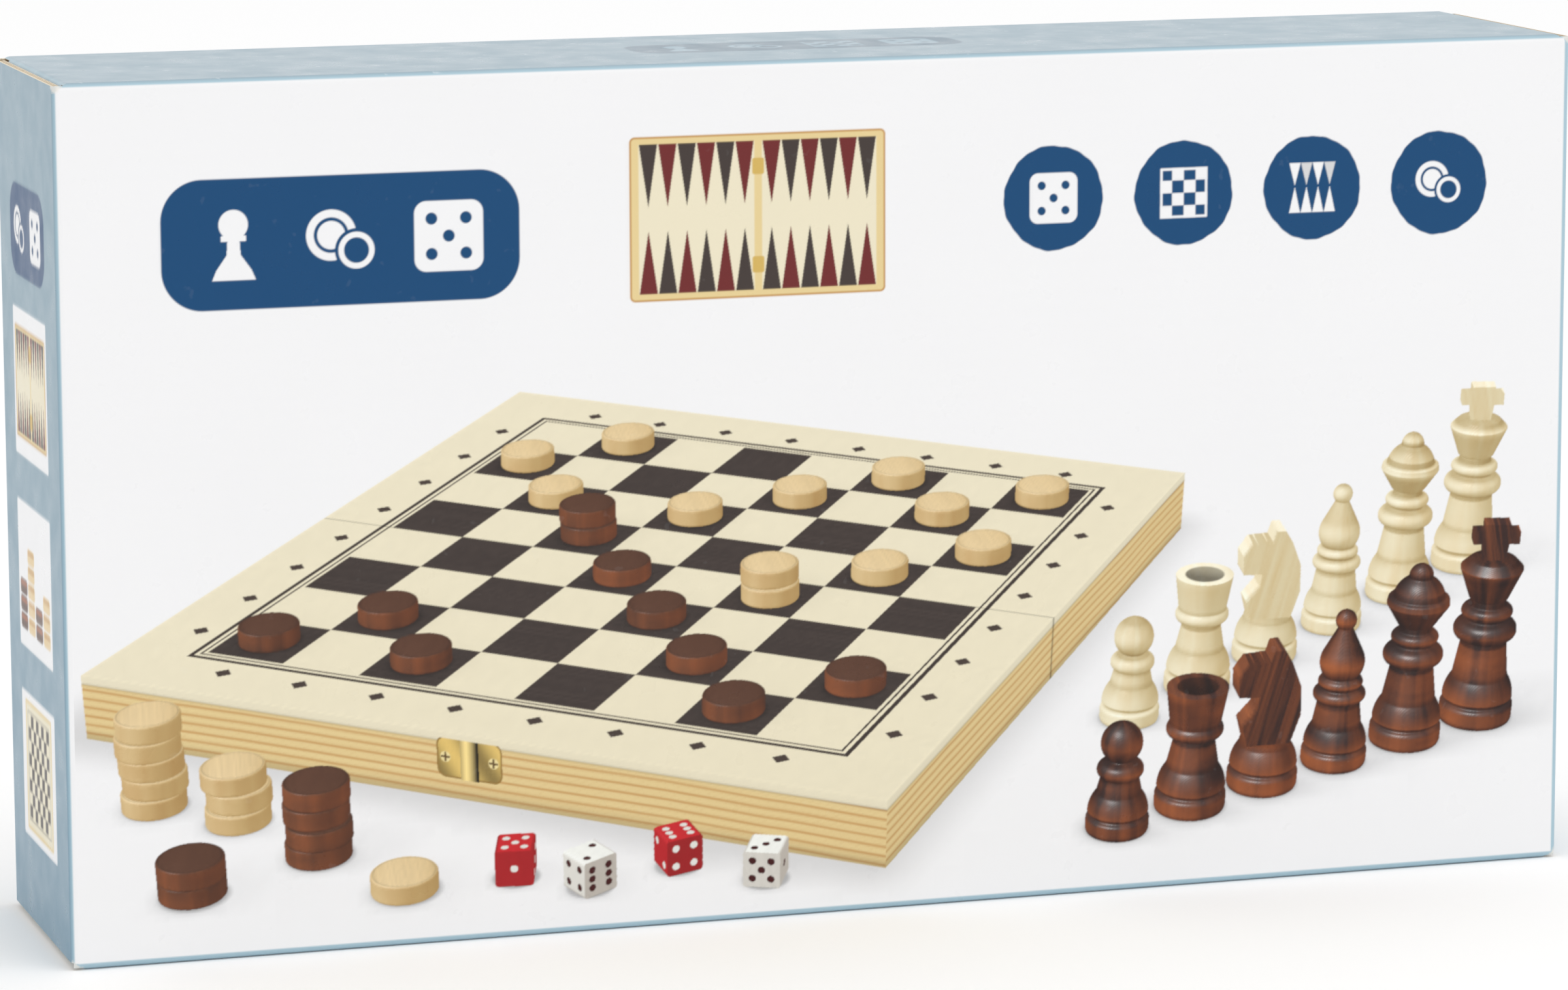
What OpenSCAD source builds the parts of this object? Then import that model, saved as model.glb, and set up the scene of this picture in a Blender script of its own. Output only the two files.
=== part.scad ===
// Retail carton of a three-in-one wooden games compendium: a tuck-end carton of fine-flute
// corrugated board, which holds a folding wooden game case with its chessmen, draughts and dice.
// X runs along the carton's width, -Y is its printed front and +Z is up. The origin is the
// middle of the face it stands on. The front, top, back and bottom panels, the glue flap and
// the end flaps are one cut blank: they are modelled apart at its creases, because it folds there.

/* [Wooden case] */
// Length of the folded case, which is also the side of the open board
case_len = 300; // [280:1:370]
// Thickness of each half of the case
half_t = 23; // [19:0.5:30]
// Thickness of the pine rails
rail_t = 8; // [6:0.5:12]
// Thickness of the playing boards
panel_t = 3; // [2:0.5:5]
// Gap between the rims of the closed halves
rim_gap = 0.2; // [0.1:0.1:0.6]

/* [Carton] */
// Thickness of the corrugated board
board_t = 1.5; // [1:0.1:2.5]
// Clearance between the case and the front panel
front_clear = 0.5; // [0.3:0.1:3]
// Depth behind the case, which the tuck tongues swing through
back_space = 10.5; // [9:0.5:20]
// Height left free over the case
head_space = 14.9; // [10:0.1:40]
// Clearance between the case and the end flaps
case_end_clear = 1.7; // [0.5:0.1:10]
// How far the back panel's ends stand back from the end closures' faces
back_recess = 1; // [0.5:0.1:1.5]
// Width of the glue flap
glue_flap_w = 25; // [15:1:30]
// How much shorter the glue flap is than the carton's sleeve, at each end
glue_flap_short = 3; // [2:0.5:8]

/* [End flaps] */
// Clearance between folded flaps
flap_clear = 0.3; // [0.2:0.05:0.6]
// Clearance over the end closure's upper edge
closure_top_clear = 0.5; // [0.3:0.1:2]
// Clearance under the end closure's lower edge
closure_low_clear = 1.5; // [0.5:0.1:3]
// Length of the tuck tongue
tongue_len = 16; // [12:0.5:20]
// Angle that the tucked tongue leans in from the back panel
tongue_lean = 14; // [13:0.5:18]
// Radius of the tongue's two free corners
tongue_corner = 9; // [4:0.5:11]
// Length of the dust flaps
dust_len = 42; // [25:1:60]
// Angle that a dust flap narrows on its hinge side
dust_hinge_taper = 32; // [30:1:40]
// Angle that a dust flap narrows on its tuck side
dust_tuck_taper = 6; // [2:1:15]

/* [Brass fittings] */
// Outer radius of the hinge knuckles
knuckle_r = 2; // [1.6:0.1:3]
// Radius of the hinge and clasp pins
pin_r = 0.8; // [0.6:0.05:1]
// Radial clearance of a pin in its knuckle
pin_clear = 0.05; // [0.02:0.01:0.1]
// Thickness of the hinge leaves and clasp plates
leaf_t = 0.8; // [0.6:0.1:1.2]
// Length of a hinge
hinge_len = 24; // [18:1:40]
// Distance of each hinge from the middle of the case
hinge_x = 95; // [40:1:120]
// Width of the clasp
clasp_w = 20; // [16:1:28]
// Radius of the screw shanks
screw_r = 0.9; // [0.7:0.1:1.2]
// Length of the screws
screw_len = 9; // [6:0.5:12]

/* [Chessmen, draughts and dice] */
// Height of the kings
king_h = 65; // [55:1:75]
// Height of the queens
queen_h = 58; // [50:1:70]
// Height of the bishops
bishop_h = 50; // [44:1:60]
// Height of the knights
knight_h = 44; // [38:1:50]
// Height of the rooks
rook_h = 38; // [34:1:44]
// Height of the pawns
pawn_h = 34; // [30:1:40]
// How much narrower a pawn's base is than a king's
pawn_step = 1.8; // [0:0.1:3]
// Clearance between pieces that lie side by side
man_gap = 0.2; // [0.1:0.05:0.5]
// Number of draughts of each colour
draughts_n = 15; // [12:1:15]
// Diameter of the draughts
draught_d = 21; // [16:0.5:24]
// Thickness of the draughts
draught_t = 6.5; // [5:0.5:8]
// Side of the dice
die_side = 12; // [9:0.5:15]

/* [Hidden] */

EPS = 0.01;
$fn = 48;

// Colours of the surfaces
white_print = "white";
blue_print = [0.66, 0.74, 0.79];
kraft = [0.72, 0.58, 0.42];
pine = [0.91, 0.80, 0.58];
birch = [0.93, 0.88, 0.74];
light_wood = [0.90, 0.83, 0.66];
dark_wood = [0.30, 0.15, 0.09];
brass = [0.83, 0.68, 0.33];

// Sizes of the carton, built up from what it holds
case_h = case_len / 2;
case_t = 2 * half_t;
end_space = 2 * board_t + flap_clear + case_end_clear;
knuckle_clear = 0.1;
carton_w = case_len + 2 * end_space;
carton_d = case_t + front_clear + back_space + 2 * board_t;
carton_h = case_h + 2 * board_t + knuckle_r + knuckle_clear + head_space;
x_end = carton_w / 2;
x_sleeve = x_end - board_t - flap_clear;
y_front = -carton_d / 2;
y_back = carton_d / 2;

// Places inside the carton
case_y = y_front + board_t + front_clear + half_t;
case_z = board_t + knuckle_r + knuckle_clear;
inner_half = half_t - panel_t - rim_gap / 2;
inner_x = case_len / 2 - rail_t;
floor_z = case_z + rail_t;
inner_h = case_h - 2 * rail_t;

// ---- Corrugated board ----

// Half of a rounded fold: the part of a quarter disc between its plate and the mitre
module half_fold(r) {
    intersection() {
        circle(r = r);
        polygon([[0, 0], [0, -2 * r], [-2 * r, -2 * r]]);
    }
}

// Section of a panel that folds at either end: the outer face is at y = 0, and it runs along x
module panel_section(length, t, fold_low, fold_high) {
    low = fold_low ? t : 0;
    high = fold_high ? t : 0;
    translate([low, 0]) square([length - low - high, t]);
    if (fold_low)
        translate([t, t]) half_fold(t);
    if (fold_high)
        translate([length - t, t]) mirror([1, 0]) half_fold(t);
}

// Section stood up as a wall that is `depth` long in X
module wall_along_x(depth) {
    translate([-depth / 2, 0, 0]) rotate([90, 0, 90]) linear_extrude(depth) children();
}

// The front is the only panel with a fold on all four sides
module front_panel() {
    color(white_print) intersection() {
        wall_along_x(carton_w)
            translate([y_front, 0]) mirror([1, -1, 0])
                panel_section(carton_h, board_t, true, true);
        linear_extrude(carton_h)
            translate([-x_end, y_front]) panel_section(carton_w, board_t, true, true);
    }
}

module top_panel() {
    color(blue_print) crease_ends(carton_h, -1)
        wall_along_x(2 * x_sleeve)
            translate([y_front, carton_h]) mirror([0, 1])
                panel_section(carton_d, board_t, true, true);
}

module back_panel() {
    color(white_print)
        wall_along_x(2 * (x_end - back_recess))
            translate([y_back, board_t]) rotate(90)
                panel_section(carton_h - board_t, board_t, true, true);
}

// Its rear edge is cut: the glue flap turns in over it from the back panel
module bottom_panel() {
    color(blue_print) crease_ends(0, 1)
        wall_along_x(2 * x_sleeve)
            translate([y_front, 0]) panel_section(carton_d, board_t, true, false);
}

// The glue flap is shorter than the back panel, and its ends taper
module glue_flap() {
    half = x_sleeve - glue_flap_short;
    color(kraft) intersection() {
        wall_along_x(2 * half)
            translate([y_back - glue_flap_w, board_t])
                panel_section(glue_flap_w, board_t, false, true);
        linear_extrude(carton_h)
            polygon([[-half, y_back], [half, y_back], [half, y_back - 2 * board_t],
                [half - glue_flap_w / 2, y_back - glue_flap_w],
                [-half + glue_flap_w / 2, y_back - glue_flap_w], [-half, y_back - 2 * board_t]]);
    }
}

// Mitres the left and right ends of a level panel, where the dust flaps fold down or up
module crease_ends(z_outer, inward) {
    intersection() {
        children();
        translate([0, y_back, z_outer]) rotate([90, 0, 0]) linear_extrude(carton_d)
            scale_z(inward) translate([-x_sleeve, 0])
                panel_section(2 * x_sleeve, board_t, true, true);
    }
}

module scale_z(side) {
    if (side > 0)
        children();
    else
        mirror([0, 1]) children();
}

// ---- End flaps, drawn for the left end ----

module at_end(side) {
    if (side < 0)
        children();
    else
        mirror([1, 0, 0]) children();
}

closure_reach = carton_d - board_t - flap_clear;
closure_z = closure_low_clear;
closure_h = carton_h - closure_low_clear - closure_top_clear;

// The end closure folds on the front panel's upright edge
module closure(side) {
    color(blue_print) at_end(side)
        translate([-x_end, y_front, closure_z]) linear_extrude(closure_h)
            mirror([1, -1, 0]) panel_section(closure_reach, board_t, true, true);
}

// The tongue tucks in behind the back panel, leaning in from its crease
module tongue(side) {
    color(blue_print) at_end(side)
        translate([-x_end + board_t, y_front + closure_reach - board_t, closure_z])
            rotate(-tongue_lean) {
                linear_extrude(closure_h) tongue_fold(board_t);
                translate([0, board_t, 0]) rotate([90, 0, 0])
                    linear_extrude(board_t) tongue_outline();
            }
}

// The tongue's share of the rounded fold at its crease
module tongue_fold(r) {
    mitre = 135 + tongue_lean;
    intersection() {
        circle(r = r);
        polygon([[0, 0], [2 * r * cos(mitre), 2 * r * sin(mitre)], [0, 2 * r]]);
    }
}

// Outline of the tongue, with round free corners
module tongue_outline() {
    shoulder = 4;
    reach = tongue_len - board_t;
    intersection() {
        square([reach, closure_h]);
        union() {
            translate([0, shoulder]) square([reach - tongue_corner, closure_h - 2 * shoulder]);
            translate([0, shoulder + tongue_corner])
                square([reach, closure_h - 2 * shoulder - 2 * tongue_corner]);
            for (z = [shoulder + tongue_corner, closure_h - shoulder - tongue_corner])
                translate([reach - tongue_corner, z]) circle(r = tongue_corner);
        }
    }
}

dust_front_clear = 0.5;
dust_root_front = board_t + dust_front_clear;
dust_root_back = carton_d - 2 * board_t - flap_clear - board_t * 1.4;
dust_corner = 5;

// Outline of a dust flap: x runs back from the carton's front, y from the crease to the free edge
module dust_outline() {
    front_edge = dust_root_front + dust_len * tan(dust_hinge_taper);
    back_edge = dust_root_back - dust_len * tan(dust_tuck_taper);
    front_shift = dust_corner * (1 / cos(dust_hinge_taper) - tan(dust_hinge_taper));
    back_shift = dust_corner * (1 / cos(dust_tuck_taper) - tan(dust_tuck_taper));
    polygon([[dust_root_front, 0],
        for (a = [0:15:90 - dust_hinge_taper])
            [front_edge + front_shift + dust_corner * cos(180 - dust_hinge_taper - a),
             dust_len - dust_corner + dust_corner * sin(180 - dust_hinge_taper - a)],
        [front_edge + front_shift, dust_len],
        [back_edge - back_shift, dust_len],
        for (a = [0:15:90 - dust_tuck_taper])
            [back_edge - back_shift + dust_corner * cos(90 - a),
             dust_len - dust_corner + dust_corner * sin(90 - a)],
        [dust_root_back, 0]]);
}

// A dust flap folds on the end of the top or the bottom panel
module dust_flap(side, up) {
    color(blue_print) at_end(side)
        translate([-x_sleeve, y_front, up > 0 ? 0 : carton_h]) mirror([0, 0, up > 0 ? 0 : 1])
            intersection() {
                rotate([90, 0, 90]) linear_extrude(board_t) dust_outline();
                translate([0, carton_d, 0]) rotate([90, 0, 0]) linear_extrude(carton_d)
                    mirror([1, -1, 0]) panel_section(dust_len, board_t, true, false);
            }
}

// ---- Rules leaflet ----

leaflet_w = 148;
leaflet_h = 105;
leaflet_leaf = 0.3;

// Two leaves folded at the foot, standing on the glue flap against the back panel
module rules_leaflet() {
    fold = leaflet_leaf * 1.5;
    color("white")
        translate([-leaflet_w / 2, y_back - board_t - flap_clear - 2 * fold, 2 * board_t + 0.1])
            rotate([90, 0, 90]) linear_extrude(leaflet_w) {
                translate([fold, fold]) difference() {
                    circle(r = fold);
                    circle(r = fold - leaflet_leaf);
                    translate([-2 * fold, 0]) square([4 * fold, 2 * fold]);
                }
                for (y = [0, 2 * fold - leaflet_leaf])
                    translate([y, fold]) square([leaflet_leaf, leaflet_h]);
            }
}

// ---- Wooden case ----

// side is -1 for the front half and 1 for the back half of the folded case
module in_half(side) {
    translate([0, case_y, case_z]) {
        if (side < 0)
            children();
        else
            mirror([0, 1, 0]) children();
    }
}

module playing_board(side) {
    color(birch) in_half(side)
        translate([-case_len / 2, -half_t, 0]) cube([case_len, panel_t, case_h]);
}

rail_depth = half_t - panel_t - rim_gap / 2;

// A long rail with mitred ends; z = 0 is its outer face
module long_rail() {
    translate([0, -rim_gap / 2, 0]) rotate([90, 0, 0]) linear_extrude(rail_depth)
        polygon([[-case_len / 2, 0], [case_len / 2, 0],
            [case_len / 2 - rail_t, rail_t], [-case_len / 2 + rail_t, rail_t]]);
}

module spine_rail(side) {
    color(pine) in_half(side) difference() {
        long_rail();
        for (x = [-hinge_x, hinge_x])
            translate([x, 0, 0]) hinge_seat();
    }
}

module clasp_rail(side) {
    color(pine) in_half(side) difference() {
        translate([0, 0, case_h]) mirror([0, 0, 1]) long_rail();
        for (x = clasp_screw_x)
            translate([x, -clasp_screw_y, case_h]) screw_hole();
    }
}

module end_rails(side) {
    color(pine) in_half(side)
        for (m = [0, 1]) mirror([m, 0, 0])
            translate([-case_len / 2, -rim_gap / 2, 0]) rotate([90, 0, 0])
                linear_extrude(rail_depth)
                    polygon([[0, EPS * 5], [rail_t - EPS * 5, rail_t],
                        [rail_t - EPS * 5, case_h - rail_t], [0, case_h - EPS * 5]]);
}

// ---- Hinges: the pin lies on the spine's face, at the rims ----

leaf_w = rail_t - 1;
seat_clear = 0.1;
knuckle_n = 3;
hinge_screw_x = hinge_len * 0.32;

// Room for one hinge in a spine rail: a recess for the leaf, and a groove for the knuckles
module hinge_seat() {
    translate([-hinge_len / 2 - seat_clear, -rim_gap / 2 - leaf_t - seat_clear, -EPS])
        cube([hinge_len + 2 * seat_clear, leaf_t + seat_clear + 1, leaf_w + seat_clear]);
    rotate([0, 90, 0])
        cylinder(r = knuckle_r + seat_clear, h = hinge_len + 2 * seat_clear, center = true);
    for (x = [-hinge_screw_x, hinge_screw_x])
        translate([x, -leaf_t, leaf_w * 0.62]) rotate([90, 0, 0])
            cylinder(r = screw_r + EPS * 5, h = screw_len + 1);
}

// One leaf with every other knuckle rolled on its edge
module hinge_leaf(first) {
    pitch = hinge_len / knuckle_n;
    joint_gap = 0.1;
    difference() {
        union() {
            translate([-hinge_len / 2, -rim_gap / 2 - leaf_t, knuckle_r + 0.3])
                cube([hinge_len, leaf_t, leaf_w - knuckle_r - 0.3]);
            for (k = [first:2:knuckle_n - 1])
                translate([-hinge_len / 2 + k * pitch + joint_gap / 2, 0, 0]) {
                    rotate([0, 90, 0]) cylinder(r = knuckle_r, h = pitch - joint_gap);
                    translate([0, -rim_gap / 2 - leaf_t, 0])
                        cube([pitch - joint_gap, leaf_t, knuckle_r + 0.4]);
                }
        }
        rotate([0, 90, 0])
            cylinder(r = pin_r + pin_clear, h = hinge_len * 2, center = true);
        for (x = [-hinge_screw_x, hinge_screw_x])
            translate([x, 1, leaf_w * 0.62]) rotate([90, 0, 0])
                cylinder(r = screw_r + EPS * 5, h = 4);
    }
}

module hinge_leaves(side) {
    color(brass) in_half(side)
        for (x = [-hinge_x, hinge_x])
            translate([x, 0, 0]) hinge_leaf(side < 0 ? 0 : 1);
}

module hinge_pins() {
    color(brass) in_half(-1)
        for (x = [-hinge_x, hinge_x])
            translate([x, 0, 0]) rotate([0, 90, 0])
                cylinder(r = pin_r, h = hinge_len, center = true);
}

// Flush screws that hold both leaves of both hinges
module hinge_screws() {
    color(brass)
        for (side = [-1, 1]) in_half(side)
            for (x = [-hinge_x, hinge_x], dx = [-hinge_screw_x, hinge_screw_x])
                translate([x + dx, -rim_gap / 2, leaf_w * 0.62]) rotate([90, 0, 0])
                    cylinder(r = screw_r, h = screw_len);
}

// ---- Clasp: a hasp on the back half closes over a catch on the front half ----

clasp_screw_x = [-clasp_w * 0.32, clasp_w * 0.32];
clasp_screw_y = rail_depth * 0.5;
plate_len = rail_depth * 0.62;
plate_near = (rail_depth - plate_len) / 2 + rim_gap / 2;
hasp_pin_z = leaf_t + knuckle_r + 0.1;
hasp_pin_y = plate_near - 0.2;
hasp_w = clasp_w * 0.36;
staple_w = clasp_w * 0.2;
staple_y = plate_near + plate_len * 0.32;
screw_head_r = 2 * screw_r;
screw_head_t = 0.7;

module screw_hole() {
    translate([0, 0, -screw_len]) cylinder(r = screw_r + EPS * 5, h = screw_len + 1);
}

module on_clasp_rail(side) {
    in_half(side) translate([0, 0, case_h]) children();
}

// A plate with round ends, drilled for its two screws; it lies at the rail's outer face
module clasp_plate() {
    round_r = plate_len / 2;
    difference() {
        union() {
            translate([-clasp_w / 2 + round_r, -plate_near - plate_len, 0])
                cube([clasp_w - 2 * round_r, plate_len, leaf_t]);
            for (x = [-1, 1])
                translate([x * (clasp_w / 2 - round_r), -plate_near - round_r, 0])
                    cylinder(r = round_r, h = leaf_t);
        }
        for (x = clasp_screw_x)
            translate([x, -clasp_screw_y, -1]) cylinder(r = screw_r + EPS * 5, h = leaf_t + 2);
    }
}

// The back plate carries two knuckles for the hasp's pin
module clasp_base() {
    color(brass) on_clasp_rail(1) {
        clasp_plate();
        for (x = [-1, 1])
            translate([x * (hasp_w / 2 + 1.3), -hasp_pin_y, 0]) difference() {
                union() {
                    translate([-1.1, -knuckle_r, 0]) cube([2.2, 2 * knuckle_r, hasp_pin_z]);
                    translate([0, 0, hasp_pin_z]) rotate([0, 90, 0])
                        cylinder(r = knuckle_r, h = 2.2, center = true);
                }
                translate([0, 0, hasp_pin_z]) rotate([0, 90, 0])
                    cylinder(r = pin_r + pin_clear, h = 6, center = true);
            }
    }
}

module clasp_pin() {
    color(brass) on_clasp_rail(1)
        translate([0, -hasp_pin_y, hasp_pin_z]) rotate([0, 90, 0])
            cylinder(r = pin_r, h = hasp_w + 4.8, center = true);
}

// The hasp is a strap with a slot that the catch's staple comes up through
module clasp_hasp() {
    reach = hasp_pin_y + staple_y + 4.5;
    color(brass) on_clasp_rail(1)
        translate([0, -hasp_pin_y, hasp_pin_z]) difference() {
            union() {
                rotate([0, 90, 0]) cylinder(r = knuckle_r, h = hasp_w, center = true);
                translate([-hasp_w / 2, 0, 0]) cube([hasp_w, reach, leaf_t]);
                translate([0, reach, 0]) cylinder(r = hasp_w / 2, h = leaf_t);
            }
            rotate([0, 90, 0])
                cylinder(r = pin_r + pin_clear, h = hasp_w * 2, center = true);
            translate([-staple_w / 2 - 0.3, hasp_pin_y + staple_y - 2, leaf_t / 2 - 1])
                cube([staple_w + 0.6, 4, 3]);
        }
}

// The front plate carries the staple
module clasp_catch() {
    color(brass) on_clasp_rail(-1) {
        clasp_plate();
        translate([-staple_w / 2, -staple_y - 1.2, 0])
            cube([staple_w, 2.4, hasp_pin_z + leaf_t + 0.6]);
        translate([0, -staple_y + 1.2, hasp_pin_z + leaf_t + 0.6]) rotate([90, 0, 0])
            cylinder(r = staple_w / 2, h = 2.4);
    }
}

module clasp_screws() {
    color(brass)
        for (side = [-1, 1]) on_clasp_rail(side)
            for (x = clasp_screw_x)
                translate([x, -clasp_screw_y, 0]) {
                    translate([0, 0, leaf_t - screw_len]) cylinder(r = screw_r, h = screw_len);
                    translate([0, 0, leaf_t]) cylinder(r = screw_head_r, h = screw_head_t);
                }
}

// ---- Chessmen: they lie head to the right, light ones in front, in columns that fill the case ----

men = ["king", "queen", "bishop", "bishop", "knight", "knight", "rook", "rook",
    "pawn", "pawn", "pawn", "pawn", "pawn", "pawn", "pawn", "pawn"];
man_base = inner_half - 2 * man_gap;
levels = floor(inner_h / (man_base + man_gap));
man_columns = ceil(len(men) / levels);
column_gap = 2;

function man_d(kind) = kind == "pawn" ? man_base - pawn_step : man_base;
function man_h(kind) = kind == "king" ? king_h : kind == "queen" ? queen_h
    : kind == "bishop" ? bishop_h : kind == "knight" ? knight_h
    : kind == "rook" ? rook_h : pawn_h;
function column_of(i) = floor(i / levels);
function column_x(c) = c == 0 ? -inner_x + column_gap
    : column_x(c - 1) + man_h(men[(c - 1) * levels]) + column_gap;
function stacked(i) = i % levels == 0 ? man_gap
    : stacked(i - 1) + man_d(men[i - 1]) + man_gap;

// Lays each man of one kind in its place; side is -1 for light and 1 for dark
module laid(kind, side) {
    d = man_d(kind);
    color(side < 0 ? light_wood : dark_wood)
        for (i = [0:len(men) - 1])
            if (men[i] == kind)
                translate([column_x(column_of(i)), case_y + side * (d / 2 + man_gap),
                    floor_z + stacked(i) + d / 2])
                    rotate([0, 90, 0]) children();
}

// Turned foot that all the men share: a drum, a groove, a bell and a tapering stem
module foot(b, neck_r, neck_z) {
    drum = b * 0.5;
    bell_z = drum + b * 0.12;
    cylinder(r = b, h = drum);
    translate([0, 0, drum - EPS]) cylinder(r = b * 0.86, h = b * 0.12 + 2 * EPS);
    intersection() {
        translate([0, 0, bell_z]) sphere(r = b * 0.94);
        translate([0, 0, bell_z]) cylinder(r = b * 2, h = b);
    }
    translate([0, 0, bell_z + b * 0.3]) cylinder(r1 = b * 0.8, r2 = neck_r, h = neck_z - bell_z - b * 0.3);
}

// A rounded ring round the stem
module bead(r, z, thick) {
    translate([0, 0, z]) rotate_extrude() translate([r - thick / 2, 0]) circle(r = thick / 2);
    translate([0, 0, z - thick / 2]) cylinder(r = r - thick / 2, h = thick);
}

module pawn() {
    b = man_d("pawn") / 2;
    head = b * 0.62;
    foot(b, b * 0.5, pawn_h - 2 * head);
    bead(b * 0.72, pawn_h - 2.25 * head, b * 0.36);
    translate([0, 0, pawn_h - head]) sphere(r = head);
}

module rook() {
    b = man_d("rook") / 2;
    cup = b * 0.95;
    foot(b, b * 0.5, rook_h - cup);
    bead(b * 0.78, rook_h - cup - b * 0.2, b * 0.3);
    translate([0, 0, rook_h - cup]) difference() {
        cylinder(r1 = b * 0.68, r2 = b * 0.84, h = cup);
        translate([0, 0, cup * 0.55]) cylinder(r = b * 0.5, h = cup);
    }
}

module bishop() {
    b = man_d("bishop") / 2;
    mitre_r = b * 0.64;
    mitre_z = bishop_h - b * 1.55;
    foot(b, b * 0.46, mitre_z);
    bead(b * 0.78, mitre_z - b * 1.15, b * 0.32);
    bead(b * 0.66, mitre_z - b * 0.72, b * 0.28);
    difference() {
        union() {
            translate([0, 0, mitre_z]) sphere(r = mitre_r);
            translate([0, 0, mitre_z + mitre_r * 0.5])
                cylinder(r1 = mitre_r * 0.866, r2 = b * 0.22, h = b * 0.8);
        }
        translate([mitre_r * 0.2, -b, mitre_z + mitre_r * 0.5]) rotate([0, 35, 0])
            cube([b * 2, b * 2, b * 0.14]);
    }
    translate([0, 0, bishop_h - b * 0.28]) sphere(r = b * 0.28);
}

// The knight's head is sawn from a block, in profile, on a turned foot
module knight() {
    b = man_d("knight") / 2;
    block = b * 0.85;
    neck_z = b * 1.15;
    head = knight_h - neck_z;
    foot(b, b * 0.6, b * 1.6);
    rotate([90, 0, 0]) translate([0, neck_z, -block / 2]) linear_extrude(block)
        polygon([[-b * 0.75, 0], [b * 0.62, 0], [b * 0.72, head * 0.27],
            [b * 0.2, head * 0.45], [b * 0.32, head * 0.66], [b * 0.86, head * 0.67],
            [b * 0.9, head * 0.82], [b * 0.3, head * 0.94], [b * 0.12, head],
            [-b * 0.1, head * 0.93], [-b * 0.62, head * 0.78], [-b * 0.86, head * 0.5]]);
}

module queen() {
    b = man_d("queen") / 2;
    cup_z = queen_h - b * 1.45;
    foot(b, b * 0.42, cup_z);
    bead(b * 0.8, cup_z - b * 0.85, b * 0.32);
    bead(b * 0.66, cup_z - b * 0.42, b * 0.28);
    difference() {
        translate([0, 0, cup_z - EPS]) cylinder(r1 = b * 0.42, r2 = b * 0.82, h = b * 0.95);
        for (k = [0:7]) rotate(k * 45)
            translate([b * 0.82, 0, cup_z + b * 0.95]) sphere(r = b * 0.2);
    }
    translate([0, 0, cup_z + b * 0.72]) sphere(r = b * 0.5);
    translate([0, 0, queen_h - b * 0.2]) sphere(r = b * 0.2);
}

module king() {
    b = man_d("king") / 2;
    cup_z = king_h - b * 2.1;
    foot(b, b * 0.46, cup_z);
    bead(b * 0.82, cup_z - b * 0.85, b * 0.32);
    bead(b * 0.68, cup_z - b * 0.42, b * 0.28);
    translate([0, 0, cup_z - EPS]) cylinder(r1 = b * 0.46, r2 = b * 0.78, h = b * 1.0);
    translate([0, 0, cup_z + b * 0.98]) cylinder(r1 = b * 0.6, r2 = b * 0.3, h = b * 0.34);
    translate([-b * 0.14, -b * 0.14, cup_z + b * 1.1]) cube([b * 0.28, b * 0.28, b * 1.0]);
    translate([-b * 0.36, -b * 0.14, cup_z + b * 1.55]) cube([b * 0.72, b * 0.28, b * 0.26]);
}

// ---- Draughts and dice: they stand to the right of the chessmen ----

draught_gap = 0.1;
draughts_in_stack = floor(inner_h / (draught_t + draught_gap));
draught_stacks = ceil(draughts_n / draughts_in_stack);
draughts_x = column_x(man_columns - 1) + man_h(men[(man_columns - 1) * levels])
    + column_gap + draught_d / 2;
dice_x = draughts_x + 2 * draught_stacks * (draught_d + man_gap) - draught_d / 2 + column_gap;

// A disc with rounded rims and a turned ring on either face
module draught() {
    rim = 0.8;
    r = draught_d / 2;
    difference() {
        union() {
            cylinder(r = r - rim, h = draught_t);
            translate([0, 0, rim]) cylinder(r = r, h = draught_t - 2 * rim);
            for (z = [rim, draught_t - rim])
                translate([0, 0, z]) rotate_extrude() translate([r - rim, 0]) circle(r = rim);
        }
        for (z = [0, draught_t])
            translate([0, 0, z]) rotate_extrude() translate([r * 0.62, 0]) circle(r = 0.45);
    }
}

module draughts(first) {
    color(first == 0 ? light_wood : dark_wood)
        for (i = [0:draughts_n - 1])
            translate([draughts_x
                + (first * draught_stacks + floor(i / draughts_in_stack)) * (draught_d + man_gap),
                case_y, floor_z + draught_gap + (i % draughts_in_stack) * (draught_t + draught_gap)])
                draught();
}

// A die with bevelled edges and sunk pips; the pips of opposite faces add up to seven
module die(pips) {
    bevel = die_side * 0.09;
    difference() {
        cube(die_side, center = true);
        for (turn = [[0, 0, 0], [0, 90, 0], [90, 0, 0]], a = [45:90:315])
            rotate(turn) rotate([0, 0, a]) translate([die_side / sqrt(2) + die_side / 2 - bevel, 0, 0])
                cube([die_side, die_side * 2, die_side * 2], center = true);
        if (pips)
            for (face = [0:5])
                rotate(face < 4 ? [0, 90 * face, 0] : [face == 4 ? 90 : -90, 0, 0])
                    for (p = pip_places([1, 2, 6, 5, 3, 4][face]))
                        translate([p.x * die_side * 0.25, p.y * die_side * 0.25, die_side / 2 - 0.4])
                            cylinder(r = die_side * 0.08, h = 1, $fn = 24);
    }
}

function pip_places(n) = [
    if (n % 2 == 1) [0, 0],
    if (n > 1) each [[1, 1], [-1, -1]],
    if (n > 3) each [[1, -1], [-1, 1]],
    if (n == 6) each [[1, 0], [-1, 0]]];

module dice(slot, count, tint, pips) {
    color(tint)
        for (i = [0:count - 1])
            translate([dice_x + slot * (die_side + column_gap) + die_side / 2,
                case_y + (count == 1 ? 0 : (i - 0.5) * (die_side + column_gap)),
                floor_z + man_gap + die_side / 2])
                die(pips);
}

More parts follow.
